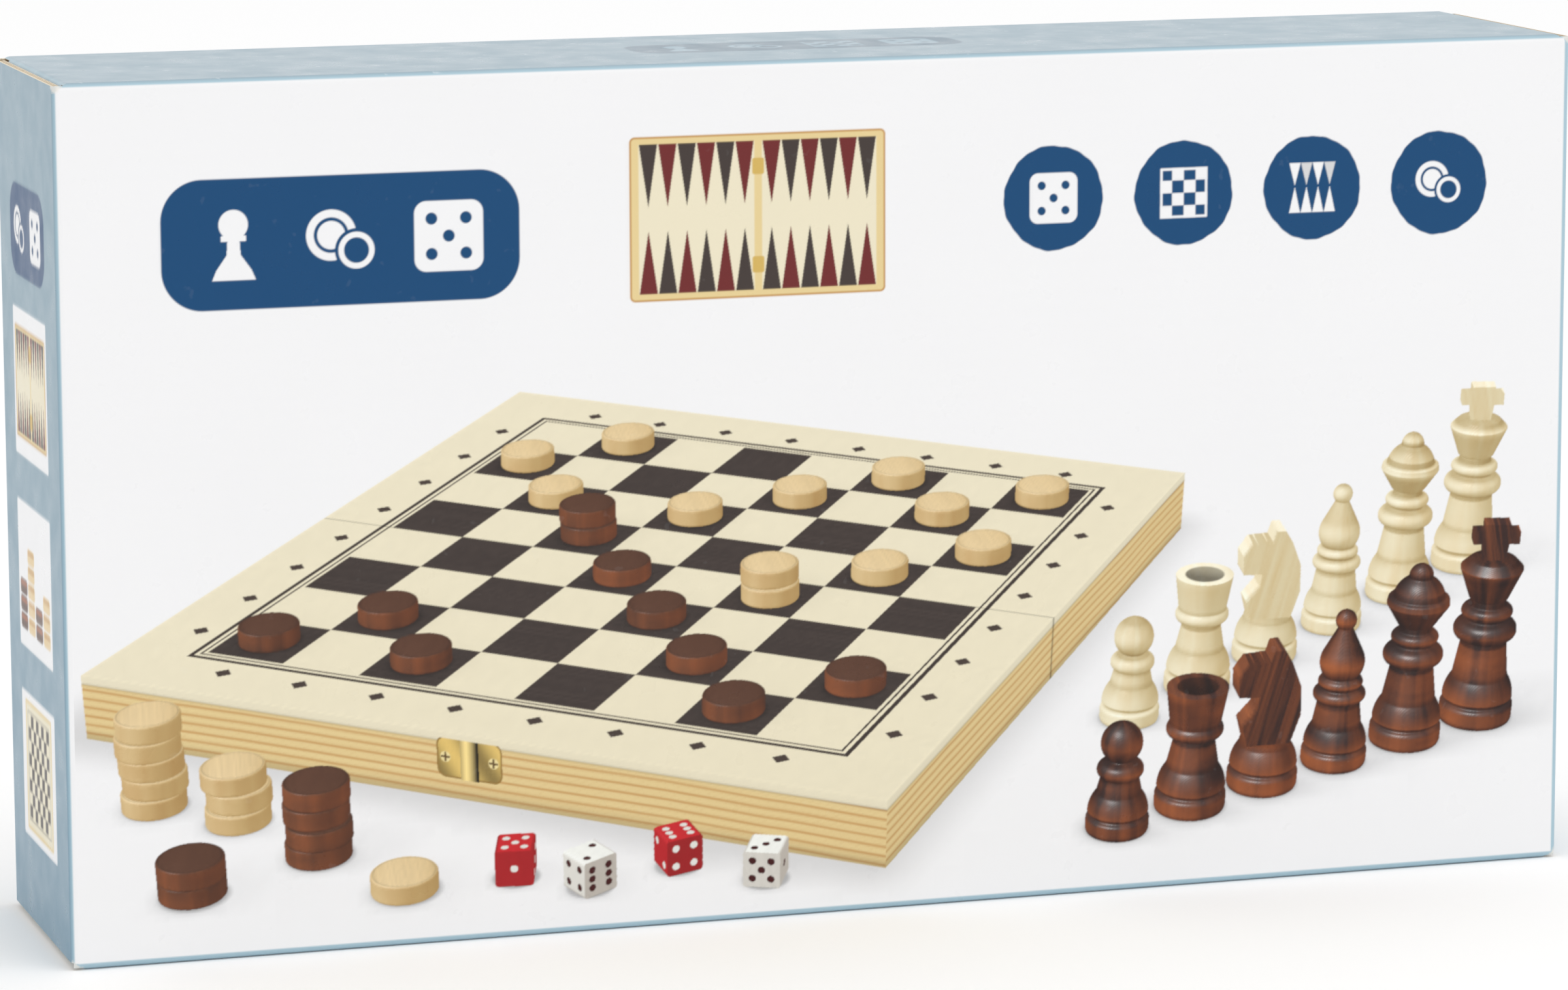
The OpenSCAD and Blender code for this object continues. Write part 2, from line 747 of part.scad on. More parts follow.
front_panel();
top_panel();
back_panel();
bottom_panel();
glue_flap();
closure(-1);  // left_closure
tongue(-1);  // left_tongue
dust_flap(-1, -1);  // left_top_dust_flap
dust_flap(-1, 1);  // left_bottom_dust_flap
closure(1);  // right_closure
tongue(1);  // right_tongue
dust_flap(1, -1);  // right_top_dust_flap
dust_flap(1, 1);  // right_bottom_dust_flap
rules_leaflet();
playing_board(-1);  // front_board
spine_rail(-1);  // front_spine_rail
clasp_rail(-1);  // front_clasp_rail
end_rails(-1);  // front_end_rails
playing_board(1);  // back_board
spine_rail(1);  // back_spine_rail
clasp_rail(1);  // back_clasp_rail
end_rails(1);  // back_end_rails
hinge_leaves(-1);  // hinge_front_leaves
hinge_leaves(1);  // hinge_back_leaves
hinge_pins();
hinge_screws();
clasp_base();
clasp_hasp();
clasp_pin();
clasp_catch();
clasp_screws();
laid("king", -1) king();  // light_king
laid("queen", -1) queen();  // light_queen
laid("bishop", -1) bishop();  // light_bishops
laid("knight", -1) knight();  // light_knights
laid("rook", -1) rook();  // light_rooks
laid("pawn", -1) pawn();  // light_pawns
laid("king", 1) king();  // dark_king
laid("queen", 1) queen();  // dark_queen
laid("bishop", 1) bishop();  // dark_bishops
laid("knight", 1) knight();  // dark_knights
laid("rook", 1) rook();  // dark_rooks
laid("pawn", 1) pawn();  // dark_pawns
draughts(0);  // light_draughts
draughts(1);  // dark_draughts
dice(0, 2, "firebrick", true);  // red_dice
dice(1, 2, "ivory", true);  // white_dice
dice(2, 1, "ivory", false);  // doubling_cube
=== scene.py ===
import math
from collections import namedtuple
from functools import cached_property, partial

import bpy
import numpy as np
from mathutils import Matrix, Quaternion, Vector

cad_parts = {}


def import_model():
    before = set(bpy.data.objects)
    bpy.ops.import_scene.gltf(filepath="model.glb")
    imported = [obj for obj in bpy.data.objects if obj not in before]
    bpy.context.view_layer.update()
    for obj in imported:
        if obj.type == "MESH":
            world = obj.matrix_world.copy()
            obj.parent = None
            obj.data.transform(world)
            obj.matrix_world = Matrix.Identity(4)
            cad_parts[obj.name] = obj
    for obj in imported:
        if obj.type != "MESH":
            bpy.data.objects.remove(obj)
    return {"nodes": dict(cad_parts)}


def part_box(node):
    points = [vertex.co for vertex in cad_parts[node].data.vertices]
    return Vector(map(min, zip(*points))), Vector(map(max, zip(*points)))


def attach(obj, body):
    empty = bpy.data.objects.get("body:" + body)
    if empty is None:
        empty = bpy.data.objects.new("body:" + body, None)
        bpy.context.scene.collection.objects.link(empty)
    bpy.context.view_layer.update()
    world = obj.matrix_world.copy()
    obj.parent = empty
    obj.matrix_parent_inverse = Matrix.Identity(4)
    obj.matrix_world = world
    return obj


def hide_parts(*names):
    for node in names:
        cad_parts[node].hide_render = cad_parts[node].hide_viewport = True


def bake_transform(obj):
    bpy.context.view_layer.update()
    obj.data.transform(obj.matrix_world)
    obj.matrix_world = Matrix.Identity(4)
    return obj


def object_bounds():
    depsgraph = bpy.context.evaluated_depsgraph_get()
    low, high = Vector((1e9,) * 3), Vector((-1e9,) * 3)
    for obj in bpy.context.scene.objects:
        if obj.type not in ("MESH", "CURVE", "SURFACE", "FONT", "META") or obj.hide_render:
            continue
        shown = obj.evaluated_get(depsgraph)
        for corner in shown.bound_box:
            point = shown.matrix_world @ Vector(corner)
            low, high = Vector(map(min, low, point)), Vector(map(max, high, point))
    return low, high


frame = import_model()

first_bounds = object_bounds()
ROOT = "carton_and_games"
SIDES = (("left", -1), ("right", 1))


# ---- Sizes from the frame: millimetres in this script, which Shell.out() turns into metres ----

def box_mm(node):
    """A CAD node's lowest and highest corners."""
    return [np.array(v) * 1000 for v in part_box(node)]


LOW, HIGH = (np.array(v) * 1000 for v in first_bounds)
X_END, Y_BACK, Z_TOP = HIGH
Y_FRONT = LOW[1]
DEPTH = Y_BACK - Y_FRONT
GLUE_LOW, GLUE_HIGH = box_mm("glue_flap")
T = round(GLUE_HIGH[2] - GLUE_LOW[2], 3)        # board thickness
X_SLEEVE = -box_mm("left_top_dust_flap")[0][0]
X_BACK_PANEL = box_mm("back_panel")[1][0]

LINER, INNER = 0.32, 0.28                       # thickness of the printed liner and the kraft one
FLUTE = 3.3                                     # pitch of the flutes
FLUTE_SHEET = 0.18                              # thickness of the fluted sheet
FLUTE_SAMPLES = 10                              # points on each flute
ARC_LINES = 6                                   # lines across a fold of the liner


# ---- Colours ----

def lin(r, g, b):
    """A colour as seen, 0 to 255, as linear values."""
    c = np.array([r, g, b], float) / 255
    return np.where(c <= 0.04045, c / 12.92, ((c + 0.055) / 1.055) ** 2.4)


WHITE, BLUE, NAVY, KRAFT = lin(245, 245, 246), lin(150, 172, 184), lin(2, 70, 117), lin(182, 156, 122)
PAPER_EDGE = lin(222, 212, 190)
FOLD_PALE_INK_AND_HIGHLIGHT = lin(176, 206, 219)                  # ink stretched pale over a fold, and a painted highlight along it
CREAM, PINE, PINE_DARK = lin(238, 229, 201), lin(232, 209, 152), lin(196, 146, 82)
DARK_SQUARE, RED_POINT = lin(66, 56, 52), lin(112, 38, 38)
LIGHT_DISC, LIGHT_DISC_2 = lin(232, 206, 158), lin(210, 172, 116)
DARK_DISC, DARK_DISC_2 = lin(92, 60, 44), lin(158, 92, 54)
INK_RED, IVORY = lin(196, 30, 38), lin(238, 238, 232)

# A printed material: its colour, its streaks' colour, how red a dark wood's belly glows, how shade deepens
# red, green and blue, and its gloss
Paint = namedtuple("Paint", "base streak belly deepen gloss")
WARM, RICH = np.array([0.75, 0.95, 1.45]), np.array([0.9, 1.05, 1.15])
MAN_PAINT = (Paint(lin(248, 240, 212), lin(232, 206, 152), 0.0, WARM, 0.45),
             Paint(lin(58, 32, 27), lin(176, 98, 52), 0.75, RICH, 1.3))
DISC_PAINT = (Paint(LIGHT_DISC, LIGHT_DISC_2, 0.1, WARM, 0.3), Paint(DARK_DISC, DARK_DISC_2, 0.5, RICH, 0.3))


def blend(a, b, share):
    """Goes from colour a to colour b, by a share for each sample."""
    share = np.asarray(share)[..., None]
    return a * (1 - share) + b * share


def ink(tone, mask, colour):
    """Puts a colour on the samples of a mask."""
    return np.where(mask[..., None], colour, tone)


# ---- Noise and small mathematics ----

def value_noise(shape, cells, seed, octaves, fade=0.5):
    """Smooth noise from 0 to 1 that repeats at the edges; cells counts its first octave across each way."""
    rng, total, weight = np.random.default_rng(seed), 0, 0
    for k in range(octaves):
        cy, cx = cells[0] * 2 ** k, cells[1] * 2 ** k
        g = rng.random((cy, cx))
        y, x = np.arange(shape[0]) * cy / shape[0], np.arange(shape[1]) * cx / shape[1]
        iy, ix = y.astype(int), x.astype(int)
        fy, fx = (y - iy)[:, None], (x - ix)[None, :]
        fy, fx = fy * fy * (3 - 2 * fy), fx * fx * (3 - 2 * fx)
        a, b = g[iy][:, ix], g[iy][:, (ix + 1) % cx]
        c, d = g[(iy + 1) % cy][:, ix], g[(iy + 1) % cy][:, (ix + 1) % cx]
        total = total + fade ** k * ((a * (1 - fx) + b * fx) * (1 - fy) + (c * (1 - fx) + d * fx) * fy)
        weight += fade ** k
    return total / weight


SOFT = value_noise((512, 512), (6, 6), 3, 5)
GRAIN = value_noise((512, 512), (44, 3), 5, 3, 0.6)      # streaks along the second way


def look_up(table, a, b):
    """Values of a repeating table at places in its own cells."""
    return table[np.floor(a).astype(np.int64) % table.shape[0], np.floor(b).astype(np.int64) % table.shape[1]]


def step(x, a, b):
    """Rises smoothly from 0 at a to 1 at b."""
    k = np.clip((x - a) / (b - a), 0, 1)
    return k * k * (3 - 2 * k)


def unit(v):
    v = np.asarray(v, float)
    return v / np.linalg.norm(v)


def rounding(z, top, r):
    """How far a solid's round edges, of radius r, stand in at heights z from 0 to its top."""
    near = np.minimum(z, top - z)
    return np.where(near < r, r - np.sqrt(np.maximum(r * r - (r - near) ** 2, 0)), 0)


# ---- Prints: drawn views of common men and boards, all worked out here ----

EDGE = 0.05                                     # half the width over which a drawn edge fades


class Picture:
    """A print as samples of colour, `cell` mm apart, with flat shapes drawn in its own plane."""

    def __init__(self, size, cell, colour=BLUE):
        self.cell = cell
        self.u, self.v = (np.arange(int(length / cell) + 1) * cell for length in size)
        self.rgb = np.empty((len(self.v), len(self.u), 3), np.float32)
        self.rgb[:] = colour

    def region(self, u0, v0, u1, v1):
        """The samples of a rectangle, and their places."""
        c, r = (slice(max(int(a / self.cell), 0), int(b / self.cell) + 2) for a, b in ((u0, u1), (v0, v1)))
        return (r, c), self.u[c][None, :], self.v[r][:, None]

    def cover(self, where, share, colour):
        view = self.rgb[where]
        view[:] = blend(view, colour, np.broadcast_to(share, view.shape[:2]))

    def fill(self, where, inside, colour, ring):
        """Inks what lies inside a shape's outline, or only a ring of that width along it."""
        share = step(inside, -EDGE, EDGE)
        if ring:
            share = share * (1 - step(inside - ring, -EDGE, EDGE))
        self.cover(where, share, colour)

    def bar(self, u0, v0, u1, v1, colour, r=0.01, ring=0.0):
        """A rectangle with corners of radius r."""
        where, u, v = self.region(u0 - 1, v0 - 1, u1 + 1, v1 + 1)
        du = abs(u - (u0 + u1) / 2) - (u1 - u0) / 2 + r
        dv = abs(v - (v0 + v1) / 2) - (v1 - v0) / 2 + r
        d = np.hypot(np.maximum(du, 0), np.maximum(dv, 0)) + np.minimum(np.maximum(du, dv), 0) - r
        self.fill(where, -d, colour, ring)

    def disc(self, u, v, r, colour, ring=0.0, rough=0.0):
        where, x, y = self.region(u - r - 1, v - r - 1, u + r + 1, v + r + 1)
        x, y = x - u, y - v
        d = np.hypot(x, y)
        if rough:
            turn = np.arctan2(y, x)
            d = d + rough * (np.sin(turn * 5 + 1) + 0.6 * np.sin(turn * 11 + u) + 0.4 * np.sin(turn * 23))
        self.fill(where, r - d, colour, ring)

    def polygon(self, points, colour):
        points = np.asarray(points, float)
        where, u, v = self.region(*points.min(0), *points.max(0))
        u, v = np.broadcast_arrays(u, v)
        inside = np.zeros(u.shape, bool)
        for (x0, y0), (x1, y1) in zip(points, np.roll(points, -1, 0)):
            if y0 != y1:
                inside ^= ((v > y0) != (v > y1)) & (u < (x1 - x0) * (v - y0) / (y1 - y0) + x0)
        self.cover(where, inside * 1.0, colour)

    def chequers(self, u, v, c, columns, rows, colour, r=0.01):
        """The dark squares, c wide, of a board whose first corner is at u, v."""
        for i in range(columns):
            for j in range(i % 2, rows, 2):
                self.bar(u + i * c, v + j * c, u + (i + 1) * c, v + (j + 1) * c, colour, r)


CORNERS = [(-1, -1), (1, 1), (-1, 1), (1, -1)]
PIPS = {1: [(0, 0)], 2: CORNERS[:2], 3: CORNERS[:2] + [(0, 0)], 4: CORNERS, 5: CORNERS + [(0, 0)],
        6: CORNERS + [(-1, 0), (1, 0)]}


class View(Picture):
    """A picture of solids seen from above, traced level by level from the lowest up.
    Its camera looks down and turned by the given degrees at the scene's origin, which shows at `aim`."""

    def __init__(self, size, cell, aim, down, turn, scale, distance):
        super().__init__(size, cell, WHITE)
        down, turn = math.radians(down), math.radians(turn)
        level = math.cos(down)
        self.fwd = np.array([math.sin(turn) * level, math.cos(turn) * level, -math.sin(down)])
        self.right = np.array([math.cos(turn), -math.sin(turn), 0])
        self.up = np.cross(self.right, self.fwd)
        self.eye = -self.fwd * distance
        self.focal, self.aim = scale * distance, aim
        self.light = unit(-0.55 * self.right - 0.25 * self.fwd * (1, 1, 0) + np.array([0, 0, 0.8]))
        self.half = unit(self.light - self.fwd)
        self.jobs = []

    def rays(self, u, v):
        """The ways in which spots of the picture look, as x, y and z."""
        du, dv = u - self.aim[0], v - self.aim[1]
        return [self.fwd[i] * self.focal + self.up[i] * dv + self.right[i] * du for i in range(3)]

    def table(self, u, v):
        """The place on the table, at level 0, that shows at a spot of the picture."""
        ray = self.rays(u, v)
        return [self.eye[i] - ray[i] * self.eye[2] / ray[2] for i in (0, 1)] + [0]

    def window(self, place, reach, tall):
        """The samples round a place, and how far from it each of them meets its level."""
        q = np.asarray(place, float) - self.eye
        k = self.focal / (q @ self.fwd)
        mids = self.aim[0] + k * (q @ self.right), self.aim[1] + k * (q @ self.up)
        cols, rows = (slice(*(max(int(round(n)), 0) for n in ((mid - far * k) / self.cell - 1,
                                                              (mid + far * k) / self.cell + 2)))
                      for mid, far in zip(mids, (reach, tall)))
        ray = self.rays(self.u[cols][None, :], self.v[rows][:, None])
        t = (place[2] - self.eye[2]) / ray[2]
        return (rows, cols), self.eye[0] + t * ray[0] - place[0], self.eye[1] + t * ray[1] - place[1]

    def shade(self, nx, ny, nz, gloss):
        """Light and shine on a surface that faces nx, ny, nz."""
        lit, h = (np.maximum(nx * way[0] + ny * way[1] + nz * way[2], 0) for way in (self.light, self.half))
        return 0.56 + 0.10 * nz + 0.56 * lit, gloss * (0.55 * h ** 70 + 0.07 * h ** 9)

    def lay(self, where, mask, colour):
        view = self.rgb[where]
        view[mask] = np.clip(np.broadcast_to(colour, mask.shape + (3,))[mask], 0, 1)

    def later(self, level, paint, *values):
        self.jobs.append((level, partial(paint, *values)))

    def run(self):
        for _, job in sorted(self.jobs, key=lambda job: job[0]):
            job()

    def flat(self, level, reach, paint):
        """Adds a drawing on a level: paint gets places and gives colours and their shares."""
        def job():
            where, x, y = self.window((0, 0, level), reach * 1.45, reach * 0.75)
            colour, share = paint(x, y)
            self.cover(where, share, colour)
        self.later(level, job)

    def shadow(self, place, r, tall, dark=0.30):
        """Adds the soft shade of a man or disc on the level under it."""
        self.later(place[2] + 1e-4, self.paint_shadow, place, r, tall * 0.75, dark)

    def paint_shadow(self, place, r, run, dark):
        away = -self.light[:2] / np.linalg.norm(self.light[:2])
        where, x, y = self.window(place, r * 2.2 + run, r * 1.3 + run * 0.6)
        along = np.clip((x * away[0] + y * away[1]) / run, 0, 1)
        d = np.hypot(x - along * run * away[0], y - along * run * away[1])
        wide = r * (1 + 0.35 * along)
        cast = (1 - step(d, wide * 0.55, wide * 1.6)) * (1 - 0.8 * along) * dark
        contact = (1 - step(np.hypot(x, y), r * 0.9, r * 1.22)) * 0.5
        self.rgb[where] *= (1 - np.maximum(cast, contact))[..., None]

    def turned(self, place, z, r, paint, seed=0, end=None):
        """Adds a solid of revolution: radii r at heights z above its place.
        end is what its top shows: "face" for a sawn one, the radius of a hollow, or None."""
        lip = np.array([np.max(r[max(0, i - 14):i + 15]) for i in range(len(r))])
        groove = np.clip((lip - r) / 4.0, 0, 0.5)
        rise = np.gradient(r, z)
        for i, up in enumerate(z):
            if r[i] > 0.05:
                self.later(place[2] + up, self.paint_turned, place, up, r[i], rise[i], groove[i], paint, seed,
                           end if i == len(z) - 1 else None)

    def paint_turned(self, place, z, r, rise, groove, paint, seed, end):
        where, x, y = self.window((place[0], place[1], place[2] + z), r, r * 0.56)
        out = np.sqrt(x * x + y * y)
        mask = x * x + y * y <= r * r
        if not mask.any():
            return
        c = 1 / math.sqrt(1 + rise * rise)
        nz = -rise * c
        if end is not None:
            c, nz = 0.2, 0.97
        light, shine = self.shade(x / r * c, y / r * c, nz, paint.gloss)
        a = (x * self.right[0] + y * self.right[1]) / r
        light = np.maximum(light * (1 - 0.16 * a ** 4), 0) + (0 if paint.belly else 0.06)
        if end == "face":
            grain = np.clip(look_up(GRAIN, (x * 0.8 + y * 0.6) * 22 + seed * 17, y * 3 - x * 4), 0, 1)
            rim = step(out / r, 0.90, 0.95) * (1 - step(out / r, 0.95, 1.0))
            tone = paint.base * (1.08 - 0.3 * grain * 0.7)[..., None] * (1 - 0.25 * rim)[..., None]
        else:
            streak = look_up(GRAIN, a * 50 + seed * 37, np.full_like(a, z * 3.0))
            cloud = look_up(SOFT, np.full_like(a, z * 11 + seed * 91), a * 30 + seed * 53)
            belly = (1 - abs(nz)) ** 2 * (1 - groove * 2) * (0.2 + 0.9 * cloud)
            k = np.clip(0.18 + 0.7 * (cloud - 0.5) + 0.7 * (streak - 0.5) + paint.belly * belly, 0, 1)
            tone = blend(paint.base, paint.streak, k)
        colour = tone * (light * (1 - groove))[..., None] ** paint.deepen + shine[..., None]
        if end not in (None, "face"):
            inner = tone * (0.20 + 0.22 * np.clip(y / end + 0.4, 0, 1))[..., None]
            colour = blend(colour, inner, step(-out / end, -1.06, -0.94))
        self.lay(where, mask, colour)

    def block(self, place, turn, z, low, high, half, paint, seed=0, pips=None):
        """Adds an upright block, 2 half thick, that runs from low to high along its facing way at heights z.
        pips is their ink and how many the top and the two sides have."""
        rise_low, rise_high = np.gradient(low, z), np.gradient(high, z)
        for i, up in enumerate(z):
            if high[i] > low[i]:
                self.later(place[2] + up, self.paint_block, place, turn, up, low[i], high[i], half,
                           rise_low[i], rise_high[i], paint, seed, pips, i == len(z) - 1)

    def paint_block(self, place, turn, z, low, high, half, rise_low, rise_high, paint, seed, pips, is_top):
        reach = max(abs(low), abs(high), half) * 1.45
        where, x, y = self.window((place[0], place[1], place[2] + z), reach, reach * 0.56)
        ca, sa = math.cos(math.radians(turn)), math.sin(math.radians(turn))
        p, q = x * ca + y * sa, -x * sa + y * ca
        mask = (p >= low) & (p <= high) & (abs(q) <= half)
        if not mask.any():
            return
        # The face that shows is the one that the way back to the eye leaves through
        dp, dq = -(self.fwd[0] * ca + self.fwd[1] * sa), -(-self.fwd[0] * sa + self.fwd[1] * ca)
        on_end = ((high if dp > 0 else low) - p) / dp < (math.copysign(half, dq) - q) / dq
        slope = rise_high if dp > 0 else -rise_low
        c = 1 / math.sqrt(1 + slope * slope)
        n_p, n_q, nz = (np.where(on_end, a, b) for a, b in
                        ((math.copysign(c, dp), 0), (0, math.copysign(1.0, dq)), (-slope * c, 0.0)))
        if is_top:
            n_p, n_q, nz = n_p * 0, n_q * 0, nz * 0 + 1
        light, shine = self.shade(n_p * ca - n_q * sa, n_p * sa + n_q * ca, nz, paint.gloss)
        streak = look_up(GRAIN, p * 9 + seed * 37 + z * 2, q * 2 + z * 5)
        k = np.clip(0.2 + 0.9 * (streak - 0.5) + 0.35 * paint.belly * on_end, 0, 1)
        colour = blend(paint.base, paint.streak, k) * light[..., None] ** paint.deepen + shine[..., None]
        if pips is not None:
            tint, (top, side, front) = pips
            sides = [(q, z - half, side, on_end), (p, z - half, front, ~on_end)]
            for a, b, count, shows in [(p, q, top, True)] if is_top else sides:
                spots = [np.hypot(a - i * half / 2, b - j * half / 2) < half * 0.2 for i, j in PIPS[count]]
                colour = ink(colour, np.any(spots, 0) & shows, tint * 0.9)
        self.lay(where, mask, colour)


# ---- Men, draughts and dice in the front's print ----

FINE = 0.16                                     # height of one traced level
DISC_R, DISC_T, DISC_STEP, DIE = 10.5, 6.5, 6.6, 12.0

# A man's turned part, with the drums, bells and beads of the men in the case. Radius and height are in mm.
# The rest are shares of the radius. A height counts down from the top or, if negative, up from the foot.
# neck and balls: height, radius; beads: height, radius, thickness; cones: height, radius, height, radius;
# cut: the height where a carved top starts
Man = namedtuple("Man", "radius height neck beads balls cones cut", defaults=((), (), (), 0))
MEN = {
    "king": Man(13, 71, (2.1, 0.46), [(2.95, 0.86, 0.5), (2.45, 0.7, 0.3)],
                cones=[(2.1, 0.52, 1.25, 0.86), (1.25, 0.86, 1.0, 0.6)], cut=0.98),
    "queen": Man(12.5, 63, (1.7, 0.42), [(2.55, 0.84, 0.5), (2.05, 0.66, 0.3)], [(1.04, 0.74), (0.34, 0.34)],
                 [(1.7, 0.5, 1.1, 0.88), (1.1, 0.88, 0.92, 0.84)]),
    "bishop": Man(11.3, 54, (1.6, 0.46), [(2.6, 0.8, 0.36), (2.22, 0.68, 0.3)], [(1.6, 0.68), (0.32, 0.32)],
                  [(1.26, 0.589, 0.5, 0.2)]),
    "knight": Man(12, 49, (-1.7, 0.66), cut=-1.35),
    "rook": Man(12, 42, (1.1, 0.5), [(1.2, 0.8, 0.4)], cones=[(1.1, 0.7, 0, 0.86)]),
    "pawn": Man(10.5, 37, (1.32, 0.5), [(1.518, 0.74, 0.5)], [(0.66, 0.66)]),
}
FOOT = [(0, 0.97, 0.08, 1), (0.08, 1, 0.42, 1), (0.42, 1, 0.5, 0.95), (0.5, 0.86, 0.62, 0.86)]
ROOK_HOLLOW = 0.58
MUZZLE = (0, 0.2, 0.36, 0.52, 0.53, 0.72, 0.86, 0.87, 1), (0.62, 0.78, 0.4, 0.36, 0.95, 0.98, 0.72, 0.1, 0.0)
MANE = (0, 0.3, 0.6, 0.86, 1), (-0.62, -0.86, -0.8, -0.5, -0.25)


def profile(man):
    """Heights and radii of a man's turned part."""
    b, h = man.radius, man.height
    z = np.arange(0, h + 1e-6, FINE)
    r = np.zeros_like(z)

    def widen(inside, radius):
        np.maximum(r, np.where(inside, radius, 0), out=r)

    def cone(z0, r0, z1, r1):
        k = (z - z0) / (z1 - z0)
        widen((k >= 0) & (k <= 1), r0 + k * (r1 - r0))

    def ball(mid, radius, low=0):
        widen((abs(z - mid) < radius) & (z >= low), np.sqrt(np.maximum(radius ** 2 - (z - mid) ** 2, 0)))

    def level(v):
        return h - v * b if v >= 0 else -v * b

    for row in FOOT:
        cone(*(b * v for v in row))
    ball(b * 0.62, b * 0.96, b * 0.62)
    cone(b * 0.92, b * 0.8, level(man.neck[0]), b * man.neck[1])
    for at, radius, thick in man.beads:
        k = np.maximum((b * thick / 2) ** 2 - (z - level(at)) ** 2, 0)
        widen(k > 0, b * radius - b * thick / 2 + np.sqrt(k))
    for at, radius in man.balls:
        ball(level(at), b * radius)
    for z0, r0, z1, r1 in man.cones:
        cone(level(z0), b * r0, level(z1), b * r1)
    turned = z <= level(man.cut) + 1e-6
    z, r = z[turned], r[turned]
    soft = np.convolve(np.pad(r, 2, mode="edge"), [0.1, 0.2, 0.4, 0.2, 0.1], "valid")
    soft[0] = r[0]
    keep = soft > 0.3
    return z[keep], soft[keep]


def stand(pic, kind, side, place, seed):
    """Stands a man on the picture's table; side is 0 for light and 1 for dark."""
    man, paint = MEN[kind], MAN_PAINT[side]
    b, h = man.radius, man.height
    z, r = profile(man)
    pic.shadow(place, b, h * 0.5, 0.36 if side else 0.30)
    pic.turned(place, z, r, paint, seed, b * ROOK_HOLLOW if kind == "rook" else None)
    if not man.cut:
        return
    z = np.arange(z[-1], h, FINE)
    k = (z - z[0]) / (h - z[0])
    if kind == "king":
        high = np.where(k < 0.45, 0.30 + 0.10 * k, np.where(k < 0.78, 0.62, 0.34))
        low, half, turn = -high, 0.26, 20
    else:
        high, low, half, turn = np.interp(k, *MUZZLE), np.interp(k, *MANE), 0.46, -150
    pic.block(place, turn, z, low * b, high * b, half * b, paint, seed)


def pile(pic, side, place, tall, seed):
    """Stacks draughts of the game, each a little out of line, and returns the next seed."""
    pic.shadow(place, DISC_R, tall * 5)
    z = np.arange(0, DISC_T + 1e-6, FINE)
    for k in range(tall):
        x, y = place[:2] + np.random.default_rng(seed + k).uniform(-0.8, 0.8, 2)
        pic.turned((x, y, place[2] + k * DISC_STEP), z, DISC_R - rounding(z, DISC_T, 0.7), DISC_PAINT[side],
                   seed + k, "face")
    return seed + tall


def die(pic, place, turn, tint, pip_tint, counts):
    z = np.arange(0, DIE + 1e-6, FINE)
    reach = DIE / 2 - rounding(z, DIE, 1.0) * 0.8
    pic.shadow(place, DIE * 0.6, DIE * 0.5)
    paint = Paint(tint, tint * 0.86, 0.0, RICH, 0.5)
    pic.block(place, turn, z, -reach, reach, DIE / 2, paint, 0, (pip_tint, counts))


# ---- The playing board in the front's print: opened flat, with its squares up ----

HALF, SQUARE, SIDE_T = 150.0, 30.0, 23.0


def pine_face(along, z, seed):
    """Pine board seen from its side, with growth lines that run along it."""
    wave = look_up(SOFT, along * 0.6 + seed * 40, np.full_like(along, 40.0 * seed)) * 5
    lines = 0.5 + 0.5 * np.sin((z * 0.95 + wave + 0.004 * along) * 2.1)
    streaks = look_up(GRAIN, z * 24, along * 1.4)
    return blend(PINE, PINE_DARK, np.clip(0.10 + 0.75 * lines ** 5 + 0.3 * (streaks - 0.5), 0, 1))


def clasp(tone, a, h):
    """A brass clasp with two screws, at a along the side and h up it."""
    plate = np.hypot(np.maximum(abs(a) - 9, 0), np.maximum(abs(h - 14.5) - 4, 0))
    brass = (plate < 3.2) & (h < 21)
    tone = ink(tone, brass, lin(222, 190, 110) * (0.72 + 0.35 * np.sin(a * 0.32 + h * 0.22)[:, None]))
    tone = ink(tone, brass & (plate > 2.6), lin(150, 118, 58))
    knob = lin(238, 212, 140) * np.clip(1.25 - abs(a[:, None] + 1.2) / 3.2, 0, 1.2)
    tone = ink(tone, (abs(a) < 3.4) & (abs(h - 14) < 7), knob)
    for at in (-9, 9):
        screw = np.hypot(a - at, h - 14.5)
        tone = ink(tone, screw < 1.9, lin(238, 220, 160))
        slots = (abs(a - at) < 0.35) | (abs(h - 14.5) < 0.35)
        tone = ink(tone, (screw < 1.7) & slots, lin(96, 72, 36))
    return tone


def board_sides(pic):
    """Draws the two sides that show, met by the rays through upright planes."""
    ray = pic.rays(pic.u[None, :], pic.v[:, None])
    for axis, level, light in ((1, -HALF, 0.98), (0, HALF, 0.90)):
        t = (level - pic.eye[axis]) / ray[axis]
        along, z = pic.eye[1 - axis] + t * ray[1 - axis], pic.eye[2] + t * ray[2]
        rows, cols = np.nonzero((abs(along) <= HALF) & (z >= 0) & (z <= SIDE_T))
        a, h = along[rows, cols], z[rows, cols]
        ply = step(h, SIDE_T - 3.1, SIDE_T - 2.9)
        tone = blend(pine_face(a, h, 1 + axis) * light, CREAM * light * 0.97, ply)
        dark = np.exp(-((h - SIDE_T + 3) / 0.5) ** 2) * 0.25 + np.exp(-(h / 3.0) ** 2) * 0.3
        if axis == 0:
            dark = dark + np.exp(-(a / 0.7) ** 2) * 0.7      # the fold between the halves
        tone = tone * (1 - np.clip(dark, 0, 0.8))[:, None]
        pic.rgb[rows, cols] = np.clip(clasp(tone, a, h) if axis == 1 else tone, 0, 1)


def board_shade(x, y):
    away = np.hypot(np.maximum(abs(x + 6) - HALF, 0), np.maximum(abs(y) - HALF, 0))
    return lin(120, 118, 116), (1 - step(away, 0, 24)) * 0.30


